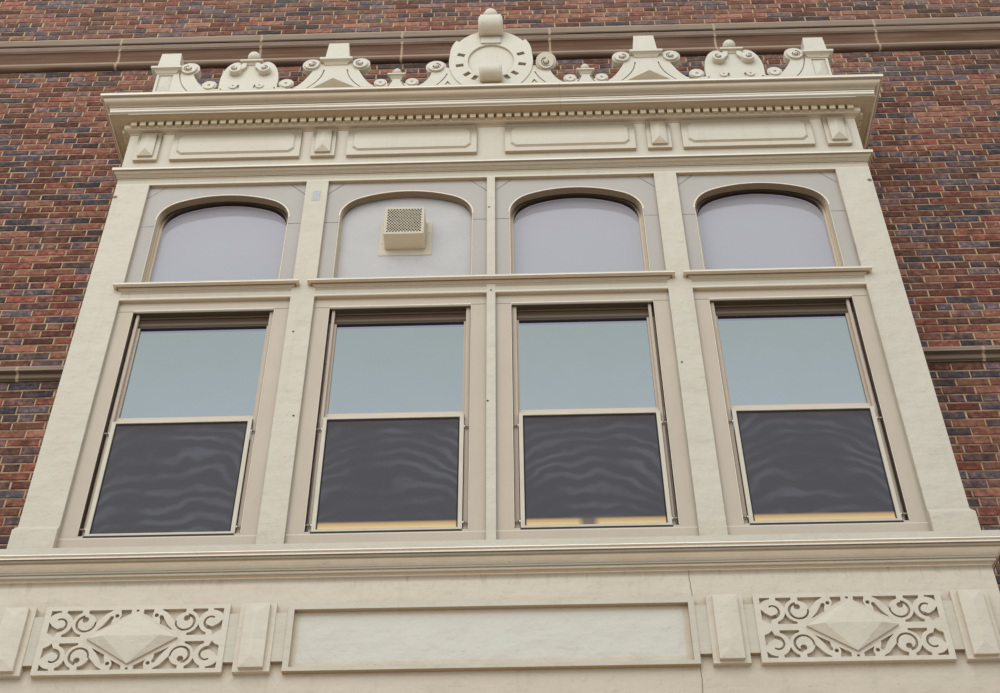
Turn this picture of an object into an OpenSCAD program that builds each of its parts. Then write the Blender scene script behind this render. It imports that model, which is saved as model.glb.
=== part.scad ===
/* [Wall] */
// Width of the brick wall section
wall_w = 8800; // [7400:100:9600]
// Height of the brick wall section
wall_h = 7240; // [6950:10:7700]
// Thickness of the brick wall
wall_t = 400; // [300:10:500]
// Drop from the foot of the main cornice to the head of the room opening
opening_drop = 305; // [250:5:400]
// Top of the lower string course
low_string_top = 2743; // [2450:1:2950]
// Height of the lower string course
low_string_h = 93; // [80:1:140]
// Top of the upper string course
high_string_top = 6490; // [6400:1:6650]
// Height of the upper string course
high_string_h = 378; // [300:1:420]
// How far the string courses stand out from the brick
string_out = 60; // [40:1:80]

/* [Bay] */
// Width of the bay across its corner piers
bay_w = 5300; // [4900:10:5700]
// How far the pier faces stand out from the brick
bay_out = 450; // [350:10:600]
// Thickness of the stone front between the corner piers
front_t = 150; // [130:5:200]
// Width of a corner pier
corner_w = 235; // [180:5:300]
// Width of the pier between an outer and an inner window
pier_w = 155; // [120:5:200]
// Width of the narrow mullion on the centre line
mullion_w = 56; // [40:2:80]
// How far the pier foot and the base frieze stand out from the pier
foot_out = 20; // [10:1:30]
// Height of the foot block of a corner pier
foot_h = 225; // [150:5:300]

/* [Heights] */
// Height of the base frieze
base_h = 780; // [700:5:850]
// Height of the sill cornice
sill_h = 159; // [140:1:180]
// Height of the lower window openings
lower_h = 2001; // [1900:1:2100]
// Height of the transom band
transom_h = 117; // [100:1:140]
// Height of the upper window openings
upper_h = 1034; // [980:1:1100]
// Height of the plain lintel over the upper windows
lintel_h = 70; // [50:1:100]
// Height of the architrave moulding
architrave_h = 84; // [70:1:110]
// Height of the upper frieze
frieze_h = 410; // [380:5:450]
// Height of the main cornice with its bed mould
cornice_h = 241; // [220:1:280]
// Height of the blocking course under the cresting
blocking_h = 284; // [240:1:320]

/* [Mouldings] */
// How far the sill cornice stands out from the pier face
sill_out = 115; // [90:1:140]
// How far the architrave stands out
architrave_out = 45; // [30:1:60]
// How far the crown of the main cornice stands out
crown_out = 214; // [190:1:260]
// How far the corona stands out
corona_out = 145; // [120:1:170]
// How far the dentils stand out
dentil_out = 70; // [55:1:90]
// Distance from one dentil to the next
dentil_pitch = 65.5; // [60:0.5:80]
// Width of a dentil
dentil_w = 43; // [25:1:48]
// Height of a dentil
dentil_h = 40; // [30:1:50]
// How far the transom sills stand out
sill_lip = 50; // [30:1:60]
// How far the panels of the upper frieze stand out
frieze_panel_out = 28; // [18:1:36]
// How far the bars stand out from the small panels of the upper frieze
bar_out = 18; // [10:1:24]

/* [Windows] */
// How far the frame boards are set back from the pier face
board_back = 30; // [15:1:45]
// Thickness of the frame boards
board_t = 56; // [35:1:64]
// Width of the frame boards beside the openings
board_side = 102; // [80:1:120]
// Height of the frame board over a lower window
board_head = 75; // [50:1:100]
// Height of the frame board under a lower window
board_foot = 173; // [150:1:200]
// Height of the frame board under an upper window
upper_foot = 60; // [50:1:100]
// Height of the frame board over the crown of an arch
upper_head = 61; // [40:1:80]
// Rise of the arches over their springing
arch_rise = 279; // [250:1:320]
// Radius of the arches near their springing
arch_haunch = 230; // [200:1:245]
// Width of the jamb that shows inside the boards
jamb_lip = 20; // [12:1:30]
// Depth of the window jambs
jamb_t = 90; // [80:1:110]
// Width of the sash stiles
stile_w = 26; // [20:1:40]
// Thickness of a sash
sash_t = 35; // [28:1:38]
// Height of the head rail of the upper sash
head_rail = 72; // [50:1:90]
// Height of the meeting rail
meeting_rail = 30; // [25:1:50]
// Height of the bottom rail of the lower sash
bottom_rail = 103; // [70:1:120]
// Height of the upper sash glass
upper_glass_h = 753; // [650:1:800]
// Thickness of the glass
glass_t = 6; // [4:1:8]
// Gap between a screen and the boards beside it
screen_gap = 34; // [28:1:40]
// Height of a screen
screen_h = 830; // [780:5:850]
// Width of the upright bars of a screen frame
screen_bar = 24; // [12:1:30]
// Height of the top and bottom bars of a screen frame
screen_rail = 14; // [10:1:20]
// Depth of the screen frame
screen_t = 14; // [10:1:14]
// Depth of the sashes of the arched lights
arch_sash_t = 56; // [45:1:65]
// Width of the sash bars of the arched lights
arched_bar = 14; // [10:1:25]

/* [Vent] */
// Width and height of the vent hood
hood_size = 270; // [240:5:320]
// Depth of the vent hood
hood_depth = 150; // [100:2:160]
// Width of the flange around the hood
hood_flange = 46; // [30:1:60]
// Height of the foot of the hood over the sill of its window
hood_rise = 408; // [350:1:420]

/* [Base panels] */
// Height of the foot of the panels over the foot of the base frieze
panel_foot = 200; // [170:5:230]
// Height of the panels of the base frieze
panel_h = 402; // [390:1:420]
// How far the panels stand out from the base frieze
panel_out = 35; // [30:1:40]
// Width of a scroll panel
scroll_w = 975; // [950:5:985]
// Centre of a scroll panel from the middle of the bay
scroll_x = 1857; // [1847:1:1867]
// Depth of the pierced scroll pattern
scroll_depth = 25; // [15:1:28]
// Width of a long boss block
boss_w = 190; // [160:5:200]
// Centre of an inner long boss from the middle of the bay
inner_boss_x = 1220; // [1210:1:1230]
// How far a long boss stands out from its block
boss_out = 25; // [15:1:35]
// How far the ridges stand out over a boss
ridge_out = 12; // [8:1:20]
// Width of the bare sign field
sign_w = 2060; // [1900:10:2080]
// Height of the bare sign field
sign_h = 338; // [320:1:345]
// Width of the frame round the sign field
sign_frame = 32; // [20:1:36]
// How far the straps lie behind the panel faces
strap_back = 4; // [2:1:12]

/* [Cresting] */
// Thickness of the scrolled plates
crest_t = 52; // [44:1:70]
// Depth of the pedestals from front to back
pedestal_t = 150; // [120:5:160]
// How far the drums of the volutes stand out from the plates
drum_out = 20; // [12:1:26]
// Depth of the grooves in the plates
sink = 12; // [8:1:16]
// How far the caps stand out from their pedestals
cap_out = 44; // [34:1:50]
// Radius of the volutes of the end pedestals
end_volute_r = 80; // [74:1:84]
// Radius of the volutes of the obelisks
obelisk_volute_r = 74; // [70:1:80]
// Radius of the volutes of the cartouches
cartouche_volute_r = 62; // [54:1:64]
// How far the drums of the cartouches stand out
cartouche_drum_out = 50; // [36:1:56]
// Radius of the low curls
curl_r = 57; // [52:1:60]
// Height of the centre of the low curls
curl_z = 70; // [64:1:74]
// Half width of the central disc
disc_rx = 325; // [310:1:330]
// Half height of the central disc
disc_rz = 404; // [390:1:415]
// Height of the centre of the disc over the blocking course
disc_z = 300; // [290:1:310]

/* [Hidden] */

cream = [0.83, 0.80, 0.71];
board_grey = [0.70, 0.66, 0.58];
arch_grey = [0.68, 0.67, 0.64];
brick_red = [0.45, 0.24, 0.20];
buff = [0.55, 0.48, 0.40];
glass_blue = [0.62, 0.67, 0.70, 0.5];
screen_black = [0.20, 0.20, 0.23];
silver = [0.75, 0.75, 0.74];

half_bay = bay_w / 2;
half_base = half_bay + foot_out;
window_w = (bay_w - 2 * corner_w - 2 * pier_w - mullion_w) / 4;
inner_x = mullion_w / 2 + window_w / 2;
outer_x = mullion_w / 2 + window_w + pier_w + window_w / 2;
window_xs = [-outer_x, -inner_x, inner_x, outer_x];
pier_x = mullion_w / 2 + window_w + pier_w / 2;
room_half = half_bay - corner_w;
wall_back = bay_out + wall_t;
mid_y = (wall_back - crown_out) / 2;

sill_z = base_h + sill_h;
transom_z = sill_z + lower_h;
upper_z = transom_z + transom_h;
lintel_z = upper_z + upper_h;
architrave_z = lintel_z + lintel_h;
frieze_z = architrave_z + architrave_h;
cornice_z = frieze_z + frieze_h;
room_h = cornice_z - opening_drop;
roof_z = cornice_z + cornice_h;
crest_z = roof_z + blocking_h;

board_y = board_back;
jamb_y = board_y + board_t;
open_half = window_w / 2 - board_side;
open_z0 = sill_z + board_foot;
open_z1 = transom_z - board_head;
spring_z = lintel_z - upper_head - arch_rise;
sash_gap = 2;
outer_sash_y = jamb_y + 5;
inner_sash_y = outer_sash_y + sash_t + sash_gap;
glass_y = outer_sash_y + 15;
meeting_z = open_z1 - jamb_lip - head_rail - upper_glass_h;
panel_z0 = panel_foot;
curve_steps = 10;

// Points of an S curve from [p0, z0] to [p1, z1]
function ogee(p0, z0, p1, z1) =
    [for (i = [0:curve_steps])
        let (t = i / curve_steps)
        [p0 + (p1 - p0) * (1 - cos(180 * t)) / 2, z0 + (z1 - z0) * t]];

// Points of a quarter round from [p0, z0] to [p1, z1], hollow when bulge is false
function quarter(p0, z0, p1, z1, bulge = true) =
    [for (i = [0:curve_steps])
        let (a = 90 * i / curve_steps)
        bulge ? [p0 + (p1 - p0) * sin(a), z0 + (z1 - z0) * (1 - cos(a))]
              : [p0 + (p1 - p0) * (1 - cos(a)), z0 + (z1 - z0) * sin(a)]];

// Points of an arc about [cx, cz]
function arc(cx, cz, r, a0, a1, n = 12) =
    [for (i = [0:n]) let (a = a0 + (a1 - a0) * i / n) [cx + r * cos(a), cz + r * sin(a)]];

// Points of an ellipse
function ellipse(rx, rz, n = 72) = [for (i = [0:n - 1]) [rx * cos(360 * i / n), rz * sin(360 * i / n)]];

// Points of a spiral band from radius r0 in to r1, its width going from w0 to w1
function spiral(r0, r1, w0, w1, a0, turns, dir, n = 40) =
    let (mid = [for (i = [0:n]) let (t = i / n)
            [r0 + (r1 - r0) * t, a0 + dir * 360 * turns * t, w0 + (w1 - w0) * t]])
    concat([for (m = mid) [(m[0] + m[2] / 2) * cos(m[1]), (m[0] + m[2] / 2) * sin(m[1])]],
           [for (i = [n:-1:0]) let (m = mid[i])
                [(m[0] - m[2] / 2) * cos(m[1]), (m[0] - m[2] / 2) * sin(m[1])]]);

// Outline of a flat three-centred arch over a straight-sided opening, grown by d on every side
function arch_outline(half, z0, z_spring, rise, haunch, d = 0) =
    let (big = (pow(half - haunch, 2) + pow(rise, 2) - pow(haunch, 2)) / (2 * (rise - haunch)),
         low = z_spring + rise - big,
         turn = atan2(z_spring - low, half - haunch))
    concat([[half + d, z0 - d]],
           arc(half - haunch, z_spring, haunch + d, 0, turn, 8),
           arc(0, low, big + d, turn, 180 - turn, 20),
           arc(haunch - half, z_spring, haunch + d, 180 - turn, 180, 8),
           [[-half - d, z0 - d]]);

// A drawing in x and z made solid from y0 back to y0 + depth
module facing(y0, depth) {
    translate([0, y0 + depth, 0]) rotate([90, 0, 0]) linear_extrude(depth) children();
}

// A box from its low corner to its high corner
module block(low, high) {
    translate(low) cube(high - low);
}

// A block of half width hw whose profile of [out, z] points runs round its front and both sides
module moulded_block(profile, hw, back) {
    out = max([for (q = profile) q[0]]);
    last = len(profile) - 1;
    intersection() {
        translate([-hw - out, 0, 0]) rotate([90, 0, 90]) linear_extrude(2 * (hw + out))
            polygon(concat([for (q = profile) [-q[0], q[1]]],
                           [[back, profile[last][1]], [back, profile[0][1]]]));
        facing(-out - 1, back + out + 1)
            polygon(concat([for (q = profile) [hw + q[0], q[1]]],
                           [for (i = [last:-1:0]) [-hw - profile[i][0], profile[i][1]]]));
    }
}

// A moulding that runs along the wall face at y = bay_out from x0 to x1
module wall_moulding(profile, x0, x1) {
    last = len(profile) - 1;
    translate([x0, bay_out, 0]) rotate([90, 0, 90]) linear_extrude(x1 - x0)
        polygon(concat([for (q = profile) [-q[0], q[1]]], [[0, profile[last][1]], [0, profile[0][1]]]));
}

module both_sides() {
    children();
    mirror([1, 0, 0]) children();
}

// The finished part stands with the middle of its depth on the origin
module placed() {
    translate([0, -mid_y, 0]) children();
}

module wall_left() {
    placed() color(brick_red) block([-wall_w / 2, bay_out, 0], [-room_half, wall_back, room_h]);
}

module wall_right() {
    placed() color(brick_red) block([room_half, bay_out, 0], [wall_w / 2, wall_back, room_h]);
}

module wall_above() {
    placed() color(brick_red) block([-wall_w / 2, bay_out, room_h], [wall_w / 2, wall_back, wall_h]);
}

low_string_profile =
    let (z0 = low_string_top - low_string_h, z1 = low_string_top, h = low_string_h)
    concat([[0, z0], [string_out * 0.2, z0]],
           quarter(string_out * 0.2, z0 + h * 0.1, string_out * 0.5, z0 + h * 0.4),
           [[string_out * 0.5, z0 + h * 0.52], [string_out, z0 + h * 0.58], [string_out, z1 - 4],
            [string_out * 0.9, z1]]);

module lower_string_course() {
    placed() color(buff) {
        wall_moulding(low_string_profile, -wall_w / 2, -half_bay);
        wall_moulding(low_string_profile, half_bay, wall_w / 2);
    }
}

high_string_profile =
    let (z0 = high_string_top - high_string_h, z1 = high_string_top, h = high_string_h, r = h * 0.075)
    concat([[0, z0]],
           [for (i = [0:curve_steps]) let (a = -90 + 180 * i / curve_steps)
               [string_out * 0.25 + r * cos(a), z0 + r + r * sin(a)]],
           [[string_out * 0.3, z0 + h * 0.17], [string_out * 0.3, z0 + h * 0.42]],
           quarter(string_out * 0.35, z0 + h * 0.44, string_out * 0.72, z0 + h * 0.56, false),
           [[string_out * 0.72, z0 + h * 0.63], [string_out * 0.55, z0 + h * 0.65],
            [string_out * 0.55, z0 + h * 0.70], [string_out, z0 + h * 0.74], [string_out, z1 - 6],
            [string_out * 0.9, z1]]);

module upper_string_course() {
    placed() color(buff) wall_moulding(high_string_profile, -wall_w / 2, wall_w / 2);
}

// The hollow of the bay between its corner piers and behind its front
module bay_hollow(z0, z1) {
    block([-room_half, front_t, z0 - 1], [room_half, bay_out + 1, z1 + 1]);
}

module base_frieze() {
    placed() color(cream) difference() {
        block([-half_base, -foot_out, 0], [half_base, bay_out, base_h]);
        bay_hollow(0, base_h);
    }
}

panel_z1 = panel_z0 + panel_h;
panel_mid_z = panel_z0 + panel_h / 2;
panel_y = -foot_out - panel_out;
strap_z0 = panel_z0 + 58;
strap_z1 = panel_z1 - 58;
outer_boss_x = scroll_x + (scroll_x - inner_boss_x);

// The raised frame of the sign field and the straps that tie the panels together
module base_band() {
    frame_half = sign_w / 2 + sign_frame;
    placed() color(cream) {
        facing(panel_y, panel_out) difference() {
            translate([-frame_half, panel_z0]) square([2 * frame_half, panel_h - 6]);
            translate([-sign_w / 2, panel_z0 + sign_frame * 0.7]) square([sign_w, sign_h]);
        }
        both_sides() {
            block([frame_half, panel_y + strap_back, strap_z0],
                  [inner_boss_x - boss_w / 2, -foot_out, strap_z1]);
            block([inner_boss_x + boss_w / 2, panel_y + strap_back, strap_z0],
                  [scroll_x - scroll_w / 2, -foot_out, strap_z1]);
            block([scroll_x + scroll_w / 2, panel_y + strap_back, strap_z0],
                  [outer_boss_x - boss_w / 2, -foot_out, strap_z1]);
        }
    }
}

// A bar that is hipped at its ends: base half sizes a and b, ridge at the given height
module hipped(a, b, height, ridge) {
    polyhedron(
        points = [[-a, 0, -b], [a, 0, -b], [a, 0, b], [-a, 0, b], [0, -height, -ridge], [0, -height, ridge]],
        faces = [[0, 1, 2, 3], [1, 0, 4], [3, 2, 5], [2, 1, 4, 5], [0, 3, 5, 4]]);
}

// A hipped bar on a raised bar on a block
module long_boss() {
    bar_half = boss_w / 3;
    bar_rise = panel_h / 2 - 14;
    hip = 65;
    translate([0, 0, panel_mid_z]) {
        block([-boss_w / 2, panel_y, -panel_h / 2], [boss_w / 2, -foot_out, panel_h / 2]);
        block([-bar_half, panel_y - boss_out, -bar_rise], [bar_half, panel_y, bar_rise]);
        translate([0, panel_y - boss_out, 0]) hipped(bar_half, bar_rise, ridge_out, bar_rise - hip);
    }
}

module long_bosses() {
    placed() color(cream) both_sides() {
        translate([inner_boss_x, 0, 0]) long_boss();
        translate([outer_boss_x, 0, 0]) long_boss();
    }
}

scroll_rail = 25;
scroll_border = 32;
mid_rail = 18;
field_x = scroll_w / 2 - scroll_border;
field_z = panel_h / 2 - scroll_rail;
outer_lobe = [field_x - 56, field_z * 0.555];
inner_lobe = [field_x - 192, field_z * 0.56];
lobe_r = 69;

// A curve from p to q that bends towards c
function bend(p, c, q, n = 10) =
    [for (i = [0:n]) let (t = i / n) (1 - t) * (1 - t) * p + 2 * t * (1 - t) * c + t * t * q];

// The openings round the two lobes in one quarter of the panel
module lobe_gaps() {
    turn_r = 57;
    difference() {
        union() {
            translate([outer_lobe[0] + 2, outer_lobe[1] + 30]) square([54, field_z - outer_lobe[1] - 30]);
            translate([inner_lobe[0] + 28, inner_lobe[1] + 20])
                square([outer_lobe[0] - inner_lobe[0] - 56, field_z - inner_lobe[1] - 20]);
            translate([inner_lobe[0] + 13, mid_rail])
                square([outer_lobe[0] - inner_lobe[0] - 36, outer_lobe[1] - mid_rail - 2]);
        }
        translate(outer_lobe) circle(lobe_r, $fn = 48);
        translate(inner_lobe) circle(lobe_r, $fn = 48);
    }
    translate(inner_lobe) difference() {
        polygon([[-132, 78], [-7, 78], [-7, 57], [-40, 30], [-57, 3], [-72, 20], [-102, 55], [-132, 73]]);
        circle(turn_r, $fn = 48);
    }
}

// The curled channels inside the two lobes, the outer one with its wide mouth at the border
module lobe_channels() {
    translate(outer_lobe) {
        polygon(spiral(52, 26, 15, 10, 0, 0.83, -1));
        polygon(concat([[58, -52], [32, -64]], bend([17, -79], [8, -66], [4, -51]),
                       [[-8, -42], [-34, -8], [-18, -22], [7, -30], [37, -12], [58, 13]]));
    }
    translate(inner_lobe) {
        polygon(spiral(53, 42, 10, 16, 172, 0.74, 1));
        translate([3, 21]) circle(17, $fn = 24);
    }
}

// The openings between the tendril, its leaf and the diamond in one quarter of the panel
module tendril_gaps() {
    polygon(concat([[204, 44]], bend([190, 62], [166, 82], [138, 138]),
                   [[124, 140]], bend([119, 128], [131, 112], [127, 80])));
    polygon(concat([[32, field_z], [87, field_z]],
                   bend([87, field_z - 12], [74, 140], [92, 118]), [[32, 152]]));
    translate([0, field_z - 12]) square([7, 12]);
    translate([104, field_z - 36]) circle(11, $fn = 20);
}

// The pierced scroll pattern: a plate cut through with mirrored openings round a diamond
module scroll_pattern() {
    difference() {
        square([scroll_w, panel_h], center = true);
        difference() {
            for (mx = [0, 1], mz = [0, 1])
                mirror([mx, 0]) mirror([0, mz]) intersection() {
                    translate([0, mid_rail]) square([field_x, field_z - mid_rail]);
                    union() {
                        lobe_gaps();
                        lobe_channels();
                        tendril_gaps();
                    }
                }
            polygon([[-plate_x, 0], [0, -plate_z], [plate_x, 0], [0, plate_z]]);
        }
    }
}

plate_x = 286;
plate_z = 160;
diamond_x = plate_x - 51;
diamond_z = plate_z - 12;

// The scroll plate on its ground, with the diamond boss in the middle
module scroll_panel(side) {
    ground = panel_out - scroll_depth;
    step = boss_out * 0.5;
    y0 = panel_y - step;
    ridge_x = diamond_x * 0.62;
    placed() color(cream) translate([side * scroll_x, 0, panel_mid_z]) {
        block([-scroll_w / 2, -foot_out - ground, -panel_h / 2], [scroll_w / 2, -foot_out, panel_h / 2]);
        facing(panel_y, scroll_depth) scroll_pattern();
        facing(y0, step) polygon([[-diamond_x, 0], [0, -diamond_z], [diamond_x, 0], [0, diamond_z]]);
        translate([0, y0, 0]) polyhedron(
            points = [[-diamond_x, 0, 0], [0, 0, -diamond_z], [diamond_x, 0, 0], [0, 0, diamond_z],
                      [-ridge_x, -boss_out, 0], [ridge_x, -boss_out, 0]],
            faces = [[0, 1, 2, 3], [0, 4, 1], [1, 4, 5], [1, 5, 2], [2, 5, 3], [3, 5, 4], [3, 4, 0]]);
    }
}

module scroll_panel_left() {
    scroll_panel(-1);
}

module scroll_panel_right() {
    scroll_panel(1);
}

sill_profile =
    let (z0 = base_h, z1 = sill_z, h = sill_h, run = sill_out - foot_out)
    concat([[foot_out, z0]],
           quarter(foot_out, z0 + h * 0.02, foot_out + run * 0.25, z0 + h * 0.15),
           [[foot_out + run * 0.25, z0 + h * 0.17], [foot_out + run * 0.36, z0 + h * 0.17],
            [foot_out + run * 0.36, z0 + h * 0.24]],
           ogee(foot_out + run * 0.38, z0 + h * 0.24, foot_out + run * 0.80, z0 + h * 0.57),
           [[foot_out + run * 0.88, z0 + h * 0.57], [foot_out + run * 0.88, z0 + h * 0.63],
            [foot_out + run * 0.84, z0 + h * 0.63], [foot_out + run * 0.84, z0 + h * 0.69],
            [sill_out, z0 + h * 0.69], [sill_out, z1 - 5], [sill_out - 5, z1]]);

module sill_cornice() {
    placed() color(cream) difference() {
        moulded_block(sill_profile, half_bay, bay_out);
        bay_hollow(base_h, sill_z);
    }
}

// A corner pier as deep as the bay, on a foot block with a worn edge
module corner_pier(side) {
    x0 = min(side * room_half, side * half_bay);
    chamfer = 33;
    placed() color(cream) {
        block([x0, 0, sill_z], [x0 + corner_w, bay_out, lintel_z]);
        mirror([side < 0 ? 1 : 0, 0, 0]) intersection() {
            translate([room_half, -foot_out, sill_z])
                cube([corner_w + foot_out, bay_out + foot_out, foot_h]);
            facing(-foot_out - 1, bay_out + foot_out + 2) polygon([
                [room_half - 1, sill_z], [half_base, sill_z], [half_base, sill_z + foot_h - chamfer],
                [half_bay, sill_z + foot_h], [room_half - 1, sill_z + foot_h]]);
            translate([room_half - 1, 0, 0]) rotate([90, 0, 90]) linear_extrude(corner_w + foot_out + 2)
                polygon([[-foot_out, sill_z], [bay_out, sill_z], [bay_out, sill_z + foot_h],
                         [0, sill_z + foot_h], [-foot_out, sill_z + foot_h - chamfer]]);
        }
    }
}

module corner_pier_left() {
    corner_pier(-1);
}

module corner_pier_right() {
    corner_pier(1);
}

module window_pier(x, w) {
    placed() color(cream) block([x - w / 2, 0, sill_z], [x + w / 2, front_t, lintel_z]);
}

module window_pier_left() {
    window_pier(-pier_x, pier_w);
}

module window_pier_right() {
    window_pier(pier_x, pier_w);
}

// The mullion is set back where the middle transom sill passes in front of it
module center_mullion() {
    window_pier(0, mullion_w);
}

transom_profile =
    let (z0 = upper_z - 40, z1 = upper_z)
    concat([[0, z0]], quarter(4, z0 + 4, sill_lip * 0.55, z0 + 16, false),
           [[sill_lip * 0.62, z0 + 16], [sill_lip * 0.62, z0 + 22], [sill_lip, z0 + 25], [sill_lip, z1]]);

// A moulded transom sill centred on x, ending in returns on the piers beside its windows
module transom_sill(x, half) {
    translate([x, 0, 0]) difference() {
        moulded_block(transom_profile, half, 1);
        block([-half - sill_lip - 1, 0, upper_z - 60], [half + sill_lip + 1, 2, upper_z + 1]);
    }
}

module transoms() {
    placed() color(cream) {
        for (x = window_xs)
            block([x - window_w / 2, 0, transom_z], [x + window_w / 2, front_t, upper_z]);
        transom_sill(-outer_x, window_w / 2);
        transom_sill(outer_x, window_w / 2);
        transom_sill(0, inner_x + window_w / 2);
    }
}

architrave_profile =
    let (z0 = architrave_z, z1 = frieze_z, h = architrave_h, out = architrave_out)
    concat([[0, lintel_z], [0, z0], [out * 0.18, z0], [out * 0.18, z0 + h * 0.12]],
           ogee(out * 0.2, z0 + h * 0.12, out * 0.75, z0 + h * 0.62),
           [[out, z0 + h * 0.66], [out, z1 - 3], [out - 3, z1]]);

module architrave() {
    placed() color(cream) difference() {
        moulded_block(architrave_profile, half_bay, bay_out);
        bay_hollow(lintel_z, frieze_z);
    }
}

module upper_frieze() {
    placed() color(cream) difference() {
        block([-half_bay, 0, frieze_z], [half_bay, bay_out, cornice_z]);
        bay_hollow(frieze_z, cornice_z);
    }
}

frieze_panel_w = 170;
frieze_long_w = 935;
frieze_panel_z0 = frieze_z + 97;
frieze_panel_z1 = cornice_z - 8;
frieze_long_inner = 570;
end_panel_x = half_bay - 75 - frieze_panel_w / 2;

function cut_corner(hw, hh, c) =
    [[-hw + c, -hh], [hw - c, -hh], [hw, -hh + c], [hw, hh - c], [hw - c, hh], [-hw + c, hh],
     [-hw, hh - c], [-hw, -hh + c]];

// A solid with sloping sides between two outlines in x and z, the top one nearer by height
module bevelled(base, top, height) {
    n = len(base);
    polyhedron(
        points = concat([for (p = base) [p[0], 0, p[1]]], [for (p = top) [p[0], -height, p[1]]]),
        faces = concat([[for (i = [0:n - 1]) i]], [[for (i = [n - 1:-1:0]) n + i]],
                       [for (i = [0:n - 1]) let (j = (i + 1) % n) each [[j, i, n + i], [j, n + i, n + j]]]));
}

module frieze_panels() {
    mid_z = (frieze_panel_z0 + frieze_panel_z1) / 2;
    half_h = (frieze_panel_z1 - frieze_panel_z0) / 2;
    bar_half = 55;
    bar_rise = half_h - 26;
    hip = 62;
    field_half = frieze_long_w / 2 - 38;
    field_rise = half_h - 42;
    bevel = 13;
    cut = 38;
    placed() color(cream) both_sides() {
        for (x = [pier_x - 12, end_panel_x]) {
            translate([x, 0, mid_z]) {
                block([-frieze_panel_w / 2, -frieze_panel_out, -half_h],
                      [frieze_panel_w / 2, 0, half_h]);
                block([-bar_half, -frieze_panel_out - bar_out, -bar_rise],
                      [bar_half, -frieze_panel_out, bar_rise]);
                translate([0, -frieze_panel_out - bar_out, 0])
                    hipped(bar_half, bar_rise, bar_out, bar_rise - hip);
            }
        }
        for (x = [frieze_long_inner, outer_x - 12])
            translate([x, 0, mid_z]) {
                block([-frieze_long_w / 2, -frieze_panel_out, -half_h],
                      [frieze_long_w / 2, 0, half_h]);
                translate([0, -frieze_panel_out, 0])
                    bevelled(cut_corner(field_half, field_rise, cut),
                             cut_corner(field_half - bevel, field_rise - bevel, cut - bevel * (2 - sqrt(2))),
                             bevel);
            }
    }
}

dentil_z = cornice_z + 35;
dentil_back = 45;

// Plan of the dentil course on one side of the centre line: teeth along the front, then the return
function dentil_teeth(x_end, y_end) =
    let (count = floor((x_end - dentil_w / 2) / dentil_pitch),
         side = floor((y_end - dentil_w) / dentil_pitch))
    concat(
        [for (i = [0:count])
            let (x = i * dentil_pitch)
            each (i == 0 ? [[0, -dentil_out], [dentil_w / 2, -dentil_out], [dentil_w / 2, -dentil_back]]
                : [[x - dentil_w / 2, -dentil_back], [x - dentil_w / 2, -dentil_out],
                   [x + dentil_w / 2, -dentil_out], [x + dentil_w / 2, -dentil_back]])],
        [[half_bay + dentil_back, -dentil_back]],
        [for (i = [0:side])
            let (y = i * dentil_pitch)
            each [[half_bay + dentil_back, y], [half_bay + dentil_out, y],
                  [half_bay + dentil_out, y + dentil_w], [half_bay + dentil_back, y + dentil_w]]],
        [[half_bay + dentil_back, bay_out]]);

module dentil_course() {
    teeth = dentil_teeth(half_bay + dentil_out - dentil_w, bay_out);
    last = len(teeth) - 1;
    placed() color(cream) translate([0, 0, dentil_z]) linear_extrude(dentil_h)
        polygon(concat([for (i = [last:-1:0]) [-teeth[i][0], teeth[i][1]]], teeth,
                       [[half_bay, bay_out], [half_bay, 0], [-half_bay, 0], [-half_bay, bay_out]]));
}

cornice_profile =
    let (z0 = cornice_z, top = roof_z, soffit = dentil_z + dentil_h, fillet = 17)
    concat([[0, z0]],
           ogee(5, z0, dentil_back - 5, z0 + 25),
           [[dentil_back, z0 + 27], [dentil_back, dentil_z], [0, dentil_z], [0, soffit],
            [corona_out - 12, soffit], [corona_out - 12, soffit - 6], [corona_out - 4, soffit - 6],
            [corona_out - 4, soffit + 50], [corona_out + 1, soffit + 52],
            [corona_out + 1, soffit + 52 + fillet]],
           ogee(corona_out + 6, soffit + 52 + fillet, crown_out - 14, top - 30),
           [[crown_out, top - 28], [crown_out, top - 3], [crown_out - 3, top]]);

module main_cornice() {
    placed() color(cream) moulded_block(cornice_profile, half_bay, bay_out);
}

blocking_t = 160;
blocking_half = half_bay - 30;

module blocking_course() {
    placed() color(cream) block([-blocking_half, 0, roof_z], [blocking_half, blocking_t, crest_z]);
}

roof_t = 60;
roof_fall = 50;

// The flat roof of the bay falls gently away from the wall
module bay_roof() {
    placed() color([0.55, 0.54, 0.52]) translate([-blocking_half, 0, 0]) rotate([90, 0, 90])
        linear_extrude(2 * blocking_half)
            polygon([[blocking_t, roof_z], [bay_out, roof_z],
                     [bay_out, roof_z + roof_t + roof_fall], [blocking_t, roof_z + roof_t]]);
}

floor_t = 200;

module bay_floor() {
    placed() color([0.62, 0.60, 0.56]) block([-room_half, front_t, 0], [room_half, wall_back, floor_t]);
}

module window_frame(i) {
    x = window_xs[i];
    placed() color(board_grey) translate([x, 0, 0]) facing(board_y, board_t) difference() {
        translate([-window_w / 2, sill_z]) square([window_w, lower_h]);
        translate([-open_half, open_z0]) square([2 * open_half, open_z1 - open_z0]);
    }
    placed() color(arch_grey) translate([x, 0, 0]) facing(board_y, board_t) difference() {
        translate([-window_w / 2, upper_z]) square([window_w, upper_h]);
        polygon(arch_outline(open_half, upper_z + upper_foot, spring_z, arch_rise, arch_haunch));
    }
}

module window_frame_1() {
    window_frame(0);
}

module window_frame_2() {
    window_frame(1);
}

module window_frame_3() {
    window_frame(2);
}

module window_frame_4() {
    window_frame(3);
}

// A rectangular ring between z0 and z1, its bars as wide as side, foot and head
module ring(half, z0, z1, side, foot, head) {
    difference() {
        translate([-half, z0]) square([2 * half, z1 - z0]);
        translate([-half + side, z0 + foot]) square([2 * (half - side), z1 - z0 - foot - head]);
    }
}

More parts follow.
